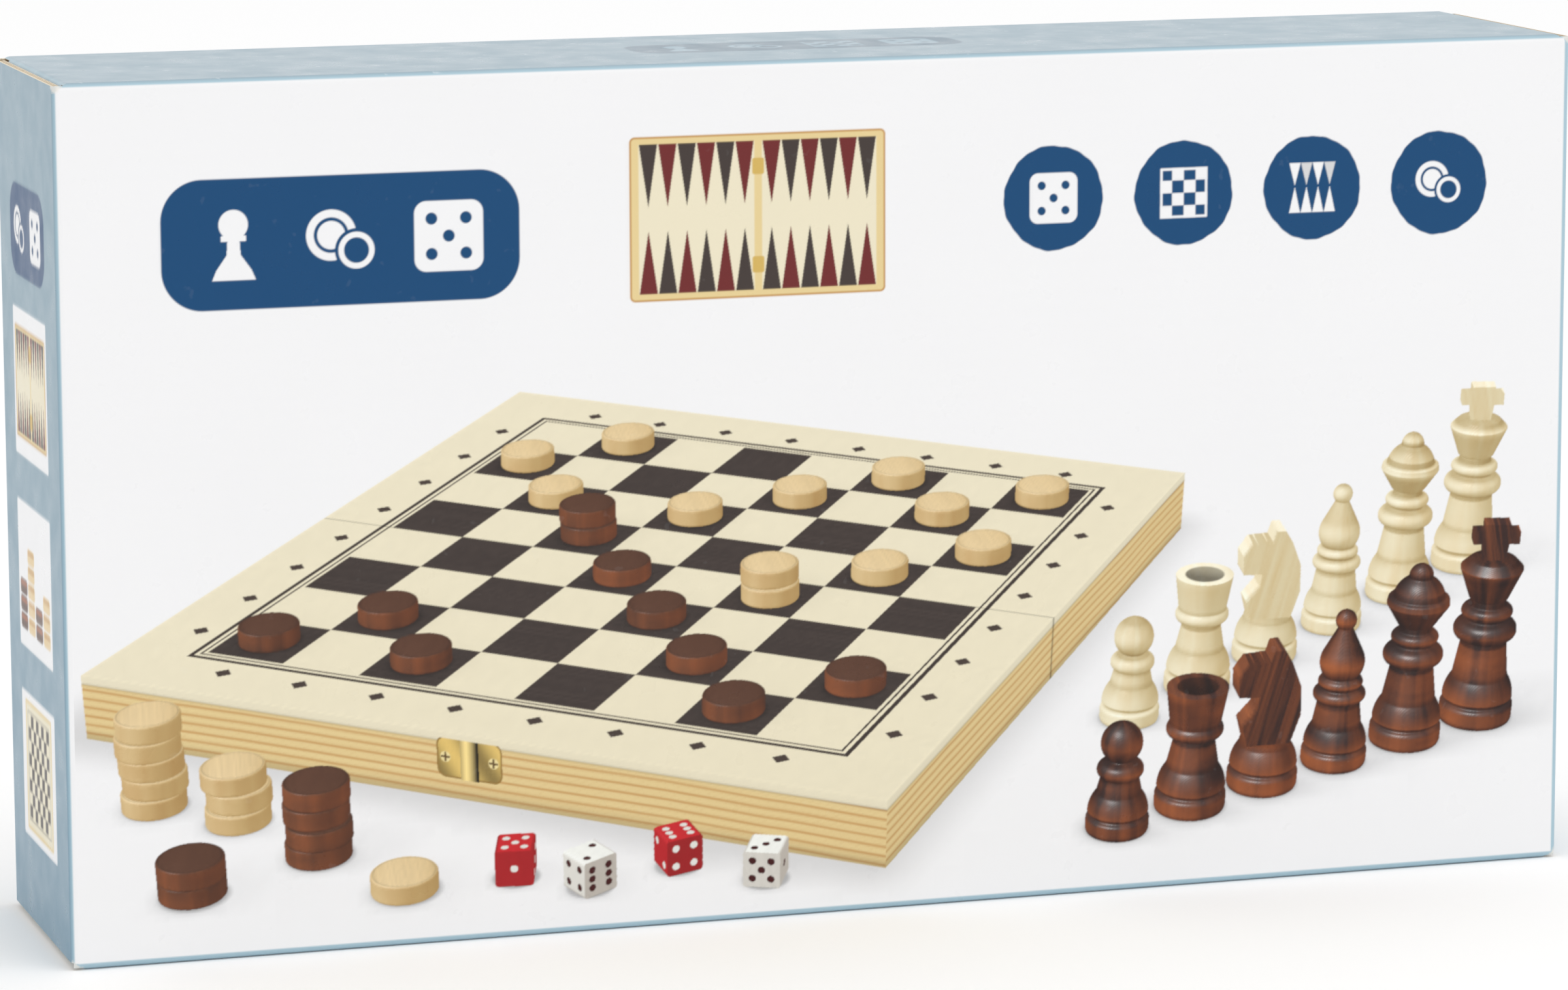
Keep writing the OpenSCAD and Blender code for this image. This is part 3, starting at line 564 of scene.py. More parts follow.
def board_top(x, y):
    """Squares inside a double line, with plain lozenges beside them."""
    ax, ay = abs(x), abs(y)
    most, rows_end = np.maximum(ax, ay), 4 * SQUARE
    tone = CREAM * (1.02 - 0.07 * look_up(GRAIN, y * 9, x * 1.2))[..., None]
    i, j = np.floor(x / SQUARE).astype(int), np.floor(y / SQUARE).astype(int)
    streak = look_up(GRAIN, y * 13 + 70 * i, x * 2 + 90 * j)
    tone = ink(tone, (most < rows_end) & ((i + j) % 2 == 0),
               DARK_SQUARE * (0.84 + 0.7 * np.clip(streak - 0.35, 0, 1))[..., None])
    for at, wide in ((rows_end + 1.6, 0.4), (rows_end + 4.2, 0.85)):
        tone = ink(tone, abs(most - at) < wide, lin(60, 50, 46))
    for p, q in ((x, y), (y, x)):
        mid = (np.floor(p / SQUARE) + 0.5) * SQUARE
        lozenge = (abs(p - mid) + abs(abs(q) - rows_end - 13) < 3.2) & (abs(p) < rows_end)
        tone = ink(tone, lozenge, lin(70, 58, 52))
    tone = ink(tone, ay < 0.45, tone * 0.62)
    return np.clip(tone * (1 + 0.05 * step(most, HALF - 1.6, HALF))[..., None], 0, 1), (most <= HALF) * 1.0


def open_board(pic):
    pic.flat(1e-3, HALF + 40, board_shade)
    pic.later(2e-3, board_sides, pic)
    pic.flat(SIDE_T, HALF, board_top)


# ---- Plans and signs that several prints share ----

def plan_chess(pic, u, v, s):
    """A chequered board seen straight on, s wide."""
    for inset, tint, r, ring in ((0, PINE, s * 0.02, 0), (0.03, CREAM, 0.01, 0),
                                 (0.08, DARK_SQUARE, 0.01, s * 0.006)):
        near, far = s * inset, s * (1 - inset)
        pic.bar(u + near, v + near, u + far, v + far, tint, r, ring)
    pic.chequers(u + s * 0.1, v + s * 0.1, s * 0.1, 8, 8, DARK_SQUARE)


def plan_points(pic, u, v, s, tall):
    """A board of twenty-four points seen straight on, in two hinged trays."""
    pic.bar(u, v, u + s, v + tall, PINE, s * 0.02)
    for k in (0, 1):
        a, w = u + s * 0.035 + k * s * 0.48, s * 0.45
        pic.bar(a, v + tall * 0.045, a + w, v + tall * 0.955, CREAM)
        for i in range(6):
            for end, (root, tip) in enumerate(((0.045, 0.43), (0.955, 0.57))):
                tint = DARK_SQUARE if (i + end + k) % 2 else RED_POINT
                near, far = a + w * i / 6 + 0.1, a + w * (i + 1) / 6 - 0.1
                pic.polygon([(near, v + tall * root), (far, v + tall * root),
                             (a + w * (i + 0.5) / 6, v + tall * tip)], tint)
    pic.bar(u, v, u + s, v + tall, PINE_DARK, s * 0.02, ring=0.35)
    for w in (0.2, 0.8):
        mid_u, mid_v = u + s * 0.5, v + tall * w
        pic.bar(mid_u - 1.2, mid_v - 1.6, mid_u + 1.2, mid_v + 1.6, lin(214, 180, 96), 0.4)


PAWN_SIGN = [(-0.62, -1), (0.62, -1), (0.5, -0.72), (0.2, -0.3), (0.16, 0.3), (-0.16, 0.3), (-0.2, -0.3),
             (-0.5, -0.72)]


def pictogram(pic, kind, u, v, s, tint=WHITE, ground=NAVY):
    """A small plain sign about 2 s across."""
    if kind == "die":
        pic.bar(u - s, v - s, u + s, v + s, tint, s * 0.35)
        for i, j in PIPS[5]:
            pic.disc(u + i * s * 0.5, v + j * s * 0.5, s * 0.17, ground)
    elif kind == "squares":
        pic.chequers(u - s, v - s, s / 2, 4, 4, tint)
        pic.bar(u - s, v - s, u + s, v + s, tint, 0.1, s * 0.1)
    elif kind == "points":
        for i in range(4):
            a = u - s + i * s / 2
            for root, tip, shade in ((-s, 0.05, 1), (s, 0.1, 0.75 if i % 2 else 1)):
                corners = [(a + 0.05, v + root), (a + s / 2 - 0.05, v + root), (a + s / 4, v + s * tip)]
                pic.polygon(corners, tint * shade)
    elif kind == "rings":
        pic.disc(u - s * 0.3, v + s * 0.15, s * 0.72, tint)
        pic.disc(u - s * 0.3, v + s * 0.15, s * 0.5, ground, s * 0.1)
        pic.disc(u + s * 0.42, v - s * 0.3, s * 0.62, ground)
        pic.disc(u + s * 0.42, v - s * 0.3, s * 0.52, tint, s * 0.16)
    else:
        pic.disc(u, v + s * 0.55, s * 0.42, tint)
        pic.polygon([(u + s * a, v + s * b) for a, b in PAWN_SIGN], tint)
        pic.bar(u - s * 0.36, v + s * 0.08, u + s * 0.36, v + s * 0.24, tint, 0.1)


def lozenge(pic, u, v, reach=2.6):
    pic.polygon([(u - reach, v), (u, v - reach), (u + reach, v), (u, v + reach)], DARK_SQUARE)


# ---- The prints ----

# Draughts on the open board: side, column, row and how many are stacked
GAME = ((1, 0, 0, 1), (1, 2, 0, 1), (1, 6, 0, 1), (1, 1, 1, 1), (1, 5, 1, 1), (1, 7, 1, 1), (1, 4, 2, 1),
        (1, 2, 4, 2), (1, 3, 3, 1), (0, 7, 7, 1), (0, 5, 7, 1), (0, 1, 7, 1), (0, 0, 6, 1), (0, 4, 6, 1),
        (0, 6, 6, 1), (0, 1, 5, 1), (0, 5, 3, 2), (0, 3, 5, 1), (0, 7, 5, 1), (0, 6, 4, 1))
# Draughts beside it: side, place in the print and how many
STACKS = ((0, 17, 31, 5), (0, 33, 27, 3), (1, 49, 19, 4), (1, 24, 13, 2), (0, 66, 11, 1))
# Dice: place in the print, turn, tints of the die and its pips, and how many pips three faces show
DICE = ((88, 12, 25, INK_RED, IVORY, (5, 3, 1)), (103, 9, 62, IVORY, INK_RED * 0.1, (2, 4, 6)),
        (121, 12, 48, INK_RED, IVORY, (6, 2, 4)), (139, 8, 12, IVORY, INK_RED * 0.1, (3, 1, 5)))
SIGN_U, SIGN_GAP, SIGN_V = 199, 27.5, 141       # the first disc's middle, and from one disc to the next


def front_picture(size):
    """The front's print: draughts in play, rows of men, stacks, dice, signs and a plan of points."""
    pic = View(size, 0.1, (121, 60), 23, -27, 0.55, 1150)
    open_board(pic)
    seed = 0
    for side, i, j, tall in GAME:
        seed = pile(pic, side, ((i - 3.5) * SQUARE, (j - 3.5) * SQUARE, SIDE_T), tall, seed)
    for side, u, v, tall in STACKS:
        seed = pile(pic, side, pic.table(u, v), tall, seed)
    for i, kind in enumerate(MEN):
        for side, u, v in ((0, 288 - 14.5 * i, 63 - 5.5 * i), (1, 291 - 15.6 * i, 31 - 3.6 * i)):
            stand(pic, kind, side, pic.table(u, v), seed)
            seed += 3
    for u, v, turn, tint, pip_tint, counts in DICE:
        die(pic, pic.table(u, v), turn, tint, pip_tint, counts)
    pic.run()
    pic.bar(20, 126, 90, 151, NAVY, 8)
    for i, kind in enumerate(("man", "rings", "die")):
        pictogram(pic, kind, 34 + 21 * i, 138.5, 6.8)
    plan_points(pic, 112, 124, 52, 32)
    for i, kind in enumerate(("die", "squares", "points", "rings")):
        pic.disc(SIGN_U + SIGN_GAP * i, SIGN_V, 10.4, NAVY, rough=0.10)
        pictogram(pic, kind, SIGN_U + SIGN_GAP * i, SIGN_V, 5.0)
    return pic


def end_picture(size):
    """An end's print: a mark, and three plain plans down the panel."""
    pic = Picture(size, 0.2)
    w, h = size
    mid = w / 2
    # Painted shade: the end's blue is darkened all over, and more so towards the bottom
    low = (1 - pic.v / h)[:, None, None]
    pic.rgb *= np.array([0.87, 0.93, 0.955]) - np.array([0.22, 0.14, 0.075]) * low ** 2.2
    pic.bar(mid - 17, h - 40, mid + 17, h - 22, NAVY, 6)
    for i, kind in enumerate(("rings", "die")):
        pictogram(pic, kind, mid - 8 + 16 * i, h - 31, 5.2)
    tiles = [h - 75 - 38 * i for i in range(3)]
    for v in tiles:
        pic.bar(mid - 16.5, v - 0.5, mid + 16.5, v + 28.5, WHITE, 0.6)
    plan_points(pic, mid - 15, tiles[0] + 3, 30, 22)
    plan_chess(pic, mid - 13, tiles[2] + 1, 26)
    for k, (side, tall) in enumerate(((1, 3), (0, 5), (1, 2), (0, 3))):
        for n in range(tall):
            a, b = mid - 15 + 7.6 * k, tiles[1] + 3 + 3.4 * n
            pic.bar(a, b, a + 6.8, b + 3.1, DISC_PAINT[side].base, 1.0)
            pic.bar(a + 0.4, b + 1.7, a + 6.4, b + 2.8, DISC_PAINT[side].streak, 0.5)
    return pic


def top_picture(size):
    """The top's print: four signs in a bar of a deeper blue, and small scuffs."""
    pic = Picture(size, 0.2)
    w, h = size
    tone = BLUE * 0.62 + NAVY * 0.2
    pic.bar(w / 2 - 34, h / 2 - 9, w / 2 + 34, h / 2 + 9, tone, 6)
    for i, kind in enumerate(("man", "rings", "squares", "die")):
        pictogram(pic, kind, w / 2 - 24 + 16 * i, h / 2, 5.2, BLUE * 1.15, tone)
    rng = np.random.default_rng(8)
    for x, y, r in zip(rng.uniform(5, w - 5, 70), rng.uniform(3, h - 3, 70), rng.uniform(1, 4.5, 70)):
        pic.bar(x, y, x + r, y + 0.3, BLUE * 0.9 + 0.045, 0.14)
    for x, y, r in zip(rng.uniform(5, w - 5, 22), rng.uniform(2, h / 2, 22), rng.uniform(0.3, 0.9, 22)):
        pic.bar(x, y, x + 2 * r, y + r, BLUE * 0.85 + 0.08, r / 2)
    return pic


def back_picture(size):
    """The back's print: plans of both boards, four signs, and a row of draughts in a band along the foot."""
    pic = Picture(size, 0.25, WHITE)
    pic.bar(0, 0, size[0], 20, BLUE)
    for k in range(1, 4):
        where, _, _ = pic.region(0, 20, size[0], 24 + k)
        pic.cover(where, 0.25, BLUE)
    plan_chess(pic, 22, 44, 84)
    plan_points(pic, 128, 44, 112, 84)
    for i, kind in enumerate(("squares", "points", "rings", "die")):
        pic.disc(277, 54 + 24.5 * i, 9.5, NAVY, rough=0.1)
        pictogram(pic, kind, 277, 54 + 24.5 * i, 4.6)
    for i in range(12):
        paint = DISC_PAINT[i % 2]
        for r, tint, ring in ((5.6, paint.streak, 0), (5.3, paint.base, 0), (3.4, paint.streak, 0.3)):
            pic.disc(29 + i * 15, 10, r, tint, ring)
    return pic


def squares_picture(size):
    """Half of the chequered board: four rows from the fold, inside a double line, with plain lozenges."""
    pic = Picture(size, 0.25, CREAM)
    w, s = size[0], SQUARE
    u0 = w / 2 - 4 * s
    for k, wide in ((5.2, 0.9), (2.2, 0.45)):
        pic.bar(u0 - k, -40, w - u0 + k, 4 * s + k, lin(58, 48, 44), 0.3, wide)
    pic.chequers(u0, 0, s, 8, 4, DARK_SQUARE, 0.05)
    for i in range(8):
        lozenge(pic, u0 + (i + 0.5) * s, 4 * s + 14)
    for j in range(4):
        for u in (u0 - 14, w - u0 + 14):
            lozenge(pic, u, (j + 0.5) * s)
    return pic


def points_picture(size):
    """Half of the points board: six long points in from either side."""
    pic = Picture(size, 0.25, CREAM)
    rim, length = 8.0, 106
    pitch = (size[1] - 2 * rim) / 6
    for i in range(6):
        v = rim + i * pitch
        for k, (root, tip) in enumerate(((rim, rim + length), (size[0] - rim, size[0] - rim - length))):
            pic.polygon([(root, v + 0.8), (root, v + pitch - 0.8), (tip, v + pitch / 2)],
                        DARK_SQUARE if (i + k) % 2 else RED_POINT)
    return pic


SLACKS = (0.012, 0.016, 0.02, 0.026, 0.034, 0.045, 0.06, 0.08, 0.11, 0.15)


class Art:
    """A picture as a mesh: cells merge where four corners' colours stand in for all between them."""

    def __init__(self, pic, low, high, cells, most, mirror=False):
        img = pic.rgb[:, ::-1] if mirror else pic.rgb
        pad = np.pad(img, ((1, 1), (1, 1), (0, 0)), mode="edge")
        img = (pad[:-2] + 2 * pad[1:-1] + pad[2:]) / 4
        self.img, self.cell = (img[:, :-2] + 2 * img[:, 1:-1] + img[:, 2:]) / 4, pic.cell
        nx, ny = cells
        a, w = np.linspace(low[0], high[0], nx + 1), np.linspace(low[1], high[1], ny + 1)
        colours = self.look(*np.meshgrid(a, w))
        gaps = self.gaps(np.clip(colours, 0, 1) ** (1 / 2.2), nx, ny)
        for slack in SLACKS:
            taken, blocks = np.zeros((ny, nx), bool), []
            for size in sorted(gaps, reverse=True):
                fits = (gaps[size] <= slack) & ~taken[::size, ::size]
                taken |= fits.repeat(size, 0).repeat(size, 1)
                j, i = np.nonzero(fits)
                blocks.append(np.stack([i * size, j * size, np.full_like(i, size)], 1))
            blocks = np.concatenate(blocks)
            if len(blocks) <= most:
                break
        i, j, s = blocks.T
        row = nx + 1
        ids = np.stack([j * row + i, j * row + i + s, (j + s) * row + i + s, (j + s) * row + i], 1)
        used, quads = np.unique(ids, return_inverse=True)
        self.quads = quads.reshape(-1, 4)
        self.points = np.stack([a[used % row], w[used // row]], 1)
        self.colours = colours.reshape(-1, 3)[used]

    def gaps(self, seen, nx, ny):
        """For each size of cell, how far the worst sample in each cell is from what its corners give."""
        gaps, size = {1: np.zeros((ny, nx))}, 2
        while size <= 64 and nx % size == 0 and ny % size == 0:
            c00, c01 = seen[:-1:size, :-1:size], seen[:-1:size, size::size]
            c10, c11 = seen[size::size, :-1:size], seen[size::size, size::size]
            worst = np.zeros(c00.shape[:2])
            for i, fy in enumerate(np.linspace(0, 1, size + 1)):
                for j, fx in enumerate(np.linspace(0, 1, size + 1)):
                    flat = (c00 * (1 - fx) + c01 * fx) * (1 - fy) + (c10 * (1 - fx) + c11 * fx) * fy
                    true = seen[i:i + ny - size + 1:size, j:j + nx - size + 1:size]
                    worst = np.maximum(worst, abs(flat - true).max(-1))
            worst *= 1 + 0.6 * math.log2(size / 2)        # soft shades in large cells would show their edges
            below = gaps[size // 2].reshape(ny // size, 2, nx // size, 2).max((1, 3))
            gaps[size] = np.maximum(worst, below)
            size *= 2
        return gaps

    def look(self, a, w):
        """The picture's colours at places in its plane."""
        x = np.clip(a / self.cell, 0, self.img.shape[1] - 1.001)
        y = np.clip(w / self.cell, 0, self.img.shape[0] - 1.001)
        i, j = x.astype(int), y.astype(int)
        low, high = (blend(self.img[k, i], self.img[k, i + 1], x - i) for k in (j, j + 1))
        return blend(low, high, y - j)


# ---- Material and light nodes ----

class Value:
    """An output of a node; sums, products and comparisons of values become nodes too."""

    def __init__(self, nodes, socket):
        self.nodes, self.socket = nodes, socket

    def __add__(self, other):
        return self.nodes.math("ADD", self, other)

    def __sub__(self, other):
        return self.nodes.math("SUBTRACT", self, other)

    def __mul__(self, other):
        return self.nodes.math("MULTIPLY", self, other)

    def __lt__(self, other):
        return self.nodes.math("LESS_THAN", self, other)

    def __gt__(self, other):
        return self.nodes.math("GREATER_THAN", self, other)

    def __abs__(self):
        return self.nodes.math("ABSOLUTE", self)

    def range(self, a, b, c, d):
        """Goes from c to d as this goes from a to b."""
        return self.nodes.add("MapRange", {"Value": self, "From Min": a, "From Max": b, "To Min": c,
                                           "To Max": d})


class Nodes:
    """The shader nodes of a material or a world."""

    def __init__(self, owner):
        self.owner = owner
        owner.use_nodes = True
        self.tree = owner.node_tree

    def add(self, kind, sockets=(), out=0, **settings):
        """Adds a node and returns one of its outputs, or nothing where it has none."""
        node = self.tree.nodes.new("ShaderNode" + kind)
        for name, setting in settings.items():
            setattr(node, name, setting)
        self.put(node, dict(sockets))
        return Value(self, node.outputs[out]) if node.outputs else None

    def put(self, node, sockets):
        for name, v in sockets.items():
            socket = node.inputs[name]
            if isinstance(v, Value):
                self.tree.links.new(v.socket, socket)
            else:
                socket.default_value = (*v, 1) if socket.type == "RGBA" else v

    @cached_property
    def place(self):
        return self.add("TexCoord", out="Object")

    @cached_property
    def xyz(self):
        node = self.add("SeparateXYZ", {0: self.place}).socket.node
        return [Value(self, socket) for socket in node.outputs]

    def ink(self):
        """The colours that the mesh itself carries."""
        return self.add("Attribute", out="Color", attribute_name="print")

    def math(self, operation, *values):
        return self.add("Math", dict(enumerate(values)), operation=operation)

    def scaled(self, *factors):
        return self.add("Mapping", {"Vector": self.place, "Scale": factors})

    def noise(self, scale, detail=3, rough=0.5, source=None):
        return self.add("TexNoise", {"Vector": source or self.place, "Scale": scale, "Detail": detail,
                                     "Roughness": rough}, "Fac")

    def mix(self, share, a, b, kind="MIX"):
        return self.add("Mix", {"Factor": share, 6: a, 7: b}, 2, data_type="RGBA", blend_type=kind)

    def bump(self, height, strength, distance, **after):
        return self.add("Bump", {"Height": height, "Strength": strength, "Distance": distance, **after})

    def done(self, **sockets):
        """Sets the shader's own sockets and returns the material."""
        self.put(self.tree.nodes["Principled BSDF"], {k.replace("_", " "): v for k, v in sockets.items()})
        return self.owner


def material(name):
    return Nodes(bpy.data.materials.new(name))


# ---- Camera, floor and light ----

IMAGE_WIDTH, FOCAL, SENSOR = 2400, 9339, 36     # the first two in the photograph's pixels
CAMERA_PLACE = (-0.3705, -1.1526, 0.2800)
YAW, PITCH, ROLL = (math.radians(v) for v in (17.713, 9.412, -0.186))


def link(name, data):
    obj = bpy.data.objects.new(name, data)
    bpy.context.scene.collection.objects.link(obj)
    return obj


def turn_to(obj, way, roll=0.0):
    obj.rotation_mode = "QUATERNION"
    obj.rotation_quaternion = Vector(way).to_track_quat("-Z", "Y") @ Quaternion((0, 0, 1), roll)


def camera():
    cam = link("camera", bpy.data.cameras.new("camera"))
    cam.data.sensor_width = SENSOR
    cam.data.lens = SENSOR * FOCAL / IMAGE_WIDTH
    cam.location = CAMERA_PLACE
    turn_to(cam, (math.sin(YAW) * math.cos(PITCH), math.cos(YAW) * math.cos(PITCH), -math.sin(PITCH)), ROLL)
    bpy.context.scene.camera = cam


def lamp(name, place, aim, size, power):
    light = bpy.data.lights.new(name, "AREA")
    light.shape, light.size, light.energy = "SQUARE", size, power
    obj = link(name, light)
    obj.location = place
    turn_to(obj, Vector(aim) - Vector(place))


def world():
    """A soft even studio that the camera and gloss see as white."""
    sky = bpy.context.scene.world = bpy.data.worlds.new("studio")
    n = Nodes(sky)
    n.tree.nodes.clear()
    shows = n.math("MAXIMUM", *(n.add("LightPath", out=f"Is {ray} Ray") for ray in ("Camera", "Glossy")))
    soft, white = (n.add("Background", {"Color": (1, 1, 1), "Strength": strength}) for strength in (0.93, 1))
    n.add("OutputWorld", {"Surface": n.add("MixShader", {"Fac": shows, 1: soft, 2: white})})


def floor(reach=6):
    """White to the camera where no shadow falls."""
    mesh = bpy.data.meshes.new("floor")
    corners = [(x * reach, y * reach, 0) for x, y in ((-1, -1), (1, -1), (1, 1), (-1, 1))]
    mesh.from_pydata(corners, [], [(0, 1, 2, 3)])
    n = material("floor")
    glow = n.add("LightPath", out="Is Camera Ray") * 0.04
    mesh.materials.append(n.done(Base_Color=(0.985,) * 3, Roughness=0.9, Specular_IOR_Level=0.1,
                                 Emission_Color=(1, 1, 1), Emission_Strength=glow))
    link("floor", mesh)


# ---- Materials ----

def print_material(name, across, glint_flecks):
    """Gloss-varnished print; the fluting shows through as faint ridges that repeat along `across`."""
    n = material(name)
    x, y, z = n.xyz
    narrow = across == "y"
    ridge = n.math("SINE", (y if narrow else z) * (2000 * math.pi / FLUTE))
    blotch = n.noise(38)
    shade = blotch.range(0.3, 0.7, 0.0, 0.05 if narrow else 0.02)
    tone = n.mix(shade, n.ink(), (0.55, 0.55, 0.56), "MULTIPLY")
    # Painted glints: pale flecks over the print that stand for glints on the varnish
    colour = n.mix(n.noise(420, 2, 0.4).range(0.70, 0.76, 0.0, glint_flecks), tone, (0.86, 0.9, 0.93))
    # Wear where two or three of the carton's faces meet
    near = [abs(v - mid).range(half - 0.0035, half, 0, 1) for v, mid, half in
            ((x, 0, X_END / 1000), (y, 0, Y_BACK / 1000), (z, Z_TOP / 2000, Z_TOP / 2000))]
    edge = n.math("MAXIMUM", n.math("MAXIMUM", near[0] * near[1], near[1] * near[2]), near[0] * near[2])
    tip = near[0] * near[1] * near[2]
    worn = edge * 0.34 + tip + n.noise(700, 4, 0.7) * 0.9
    height = ridge * blotch.range(0.2, 0.8, 0.2, 0.5) + n.noise(11, 2) * 12
    return n.done(Base_Color=n.mix(worn.range(1.02, 1.2, 0.0, 0.75), colour, (0.84, 0.80, 0.73)),
                  Roughness=n.noise(150, 4).range(0.3, 0.7, 0.26, 0.40),
                  Specular_IOR_Level=0.42 if narrow else 0.28, Normal=n.bump(height, 0.5, 0.00002))


def kraft(name, base, dark):
    n = material(name)
    fibre = n.noise(900, 4, 0.65, n.scaled(1, 1, 3))
    tone = n.mix(fibre.range(0.3, 0.7, 0.0, 0.55), base, dark)
    tone = n.mix(n.noise(60).range(0.35, 0.7, 0.0, 0.25), tone, dark * 0.8)
    tone = n.mix(n.noise(2200, 1, 0.4).range(0.66, 0.72, 0.0, 0.5), tone, dark * 0.45)
    return n.done(Base_Color=tone, Roughness=fibre.range(0.2, 0.8, 0.75, 0.95), Specular_IOR_Level=0.2,
                  Normal=n.bump(fibre, 0.35, 0.00006))


def printed_wood():
    """Plywood under the boards' print: the grain shows through the ink."""
    n = material("printed_ply")
    grain = n.noise(260, 4, 0.6, n.scaled(0.05, 1, 1))
    pores = n.noise(1800, 2, 0.6, n.scaled(0.2, 1, 1))
    tone = n.mix(grain.range(0.35, 0.7, 0.0, 0.35), n.ink(), (0.62, 0.52, 0.38), "MULTIPLY")
    tone = n.mix(pores.range(0.62, 0.75, 0.0, 0.22), tone, (0.55, 0.45, 0.33))
    return n.done(Base_Color=tone, Roughness=grain.range(0.3, 0.7, 0.34, 0.5), Specular_IOR_Level=0.4,
                  Normal=n.bump(pores, 0.25, 0.00005))


def wood(name, light, dark, along="x", ring=22.0, gloss=0.35, contrast=1.0):
    """Varnished wood with its grain along one axis."""
    n = material(name)
    stretch = [0.06 if axis == along else 1 for axis in "xyz"]
    rings = n.math("SINE", n.noise(7, 3, 0.5, n.scaled(*stretch)) * (ring * 6))
    grain = n.noise(ring * 14, 4, 0.6, n.scaled(*stretch))
    pores = n.noise(1900, 2, 0.6, n.scaled(*(0.25 if v < 1 else 1 for v in stretch)))
    tone = n.mix(rings.range(-1, 1, 0, 0.7 * contrast), light, dark)
    tone = n.mix(grain.range(0.35, 0.7, 0, 0.45 * contrast), tone, dark)
    tone = n.mix(pores.range(0.6, 0.75, 0, 0.35 * contrast), tone, dark * 0.6)
    return n.done(Base_Color=tone, Roughness=grain.range(0.3, 0.7, gloss, gloss + 0.15),
                  Specular_IOR_Level=0.45,
                  Normal=n.bump(pores, 0.2, 0.00005, Normal=n.bump(rings, 0.15, 0.00006)))


def brass():
    n = material("brass")
    scratch = n.noise(700, 3, 0.6, n.scaled(1, 8, 1))
    return n.done(Base_Color=n.mix(scratch.range(0.3, 0.7, 0, 1), (0.80, 0.60, 0.26), (0.66, 0.46, 0.18)),
                  Metallic=1.0, Roughness=scratch.range(0.3, 0.7, 0.18, 0.34),
                  Normal=n.bump(scratch, 0.2, 0.00003))


def dice(name, tint, pip_tint=None):
    """Dice plastic; pip_tint colours the sunk pips of a node that holds two dice side by side in y."""
    n = material(name)
    veil = n.noise(120)
    tint = np.array(tint)
    colour = n.mix(veil.range(0.3, 0.7, 0, 1), tint, tint * 0.85)
    if pip_tint:
        low, high = (v / 1000 for v in box_mm(name))
        side, mid = high[0] - low[0], (low + high) / 2
        x, y, z = n.xyz
        apart = (high[1] - low[1]) / 2 - side / 2
        gaps = abs(x - mid[0]), abs(abs(y - mid[1]) - apart), abs(z - mid[2])
        far, near = (n.math(kind, n.math(kind, *gaps[:2]), gaps[2]) for kind in ("MAXIMUM", "MINIMUM"))
        sunk = (far < side / 2 - 0.0003) * (near < side * 0.34)
        colour = n.mix(sunk, colour, pip_tint)
    return n.done(Base_Color=colour, Roughness=veil.range(0.3, 0.7, 0.12, 0.22),
                  Normal=n.bump(veil, 0.1, 0.0001))


def leaflet():
    """Paper with grey rows in two columns that stand in for words."""
    n = material("leaflet")
    fibre = n.noise(1500, 3, 0.6)
    sheet = n.mix(fibre.range(0.3, 0.7, 0, 1), (0.86, 0.86, 0.84), (0.78, 0.78, 0.75))
    x, _, z = n.xyz
    rows = n.math("FRACT", z * 240) < 0.4
    words = n.noise(1, 2, 0.5, n.scaled(160, 1, 24)) > 0.42
    page = (abs(abs(x) - 0.036) < 0.03) * (abs(z - 0.052) < 0.042)
    return n.done(Base_Color=n.mix(rows * words * page * 0.7, sheet, (0.10, 0.11, 0.13)),
                  Roughness=fibre.range(0.3, 0.7, 0.7, 0.9), Normal=n.bump(fibre, 0.2, 0.00003))


# ---- Meshes ----

class Shell:
    """Collects the points and quads of one mesh."""

    def __init__(self):
        self.rows, self.count = [], 0

    def raw(self, points, quads, mat, colours=KRAFT, smooth=True, spots=(0, 0)):
        """Adds quads between points; spots are the points' places on the map that a bake uses."""
        n, q = len(points), len(quads)
        self.rows.append((points, quads + self.count, np.full(q, mat), np.full(q, smooth),
                          np.broadcast_to(colours, (n, 3)), np.broadcast_to(spots, (n, 2))))
        self.count += n

    def grid(self, points, mat, colours=KRAFT, flip=False, skip=None, smooth=True, spots=(0, 0)):
        """Adds a grid of points, (rows, columns, 3); skip marks the cells to leave out."""
        r, k = points.shape[:2]
        ids = np.arange(r * k).reshape(r, k)
        q = np.stack([ids[:-1, :-1], ids[:-1, 1:], ids[1:, 1:], ids[1:, :-1]], -1)
        if flip:
            q = q[:, :, ::-1]
        q = q.reshape(-1, 4) if skip is None else q[~skip]
        self.raw(points.reshape(-1, 3), q, mat, np.reshape(colours, (-1, 3)), smooth,
                 np.reshape(spots, (-1, 2)))

    def out(self, name, mats, coloured=False, mapped=False):
        """The mesh as an object, in metres."""
        points, quads, which, smooth, colours, spots = (np.concatenate(part) for part in zip(*self.rows))
        mesh = bpy.data.meshes.new(name)
        mesh.vertices.add(len(points))
        mesh.vertices.foreach_set("co", (points * 0.001).astype(np.float32).ravel())
        mesh.loops.add(quads.size)
        mesh.loops.foreach_set("vertex_index", quads.astype(np.int32).ravel())
        mesh.polygons.add(len(quads))
        mesh.polygons.foreach_set("loop_start", np.arange(0, quads.size, 4, dtype=np.int32))
        for mat in mats:
            mesh.materials.append(mat)
        mesh.polygons.foreach_set("material_index", which.astype(np.int32))
        mesh.polygons.foreach_set("use_smooth", smooth)
        mesh.update(calc_edges=True)
        if coloured:
            rgba = np.ones((len(points), 4), np.float32)
            rgba[:, :3] = colours
            mesh.color_attributes.new("print", "FLOAT_COLOR", "POINT").data.foreach_set("color", rgba.ravel())
        if mapped:
            layer = mesh.uv_layers.new(name="OFBake")
            layer.uv.foreach_set("vector", spots[quads].astype(np.float32).ravel())
        mesh.validate()
        return link(name, mesh)


# The four sides of a grid of points, and which of them turn the other way round
RIMS = (((0,), False), ((-1,), True), ((slice(None), 0), True), ((slice(None), -1), False))


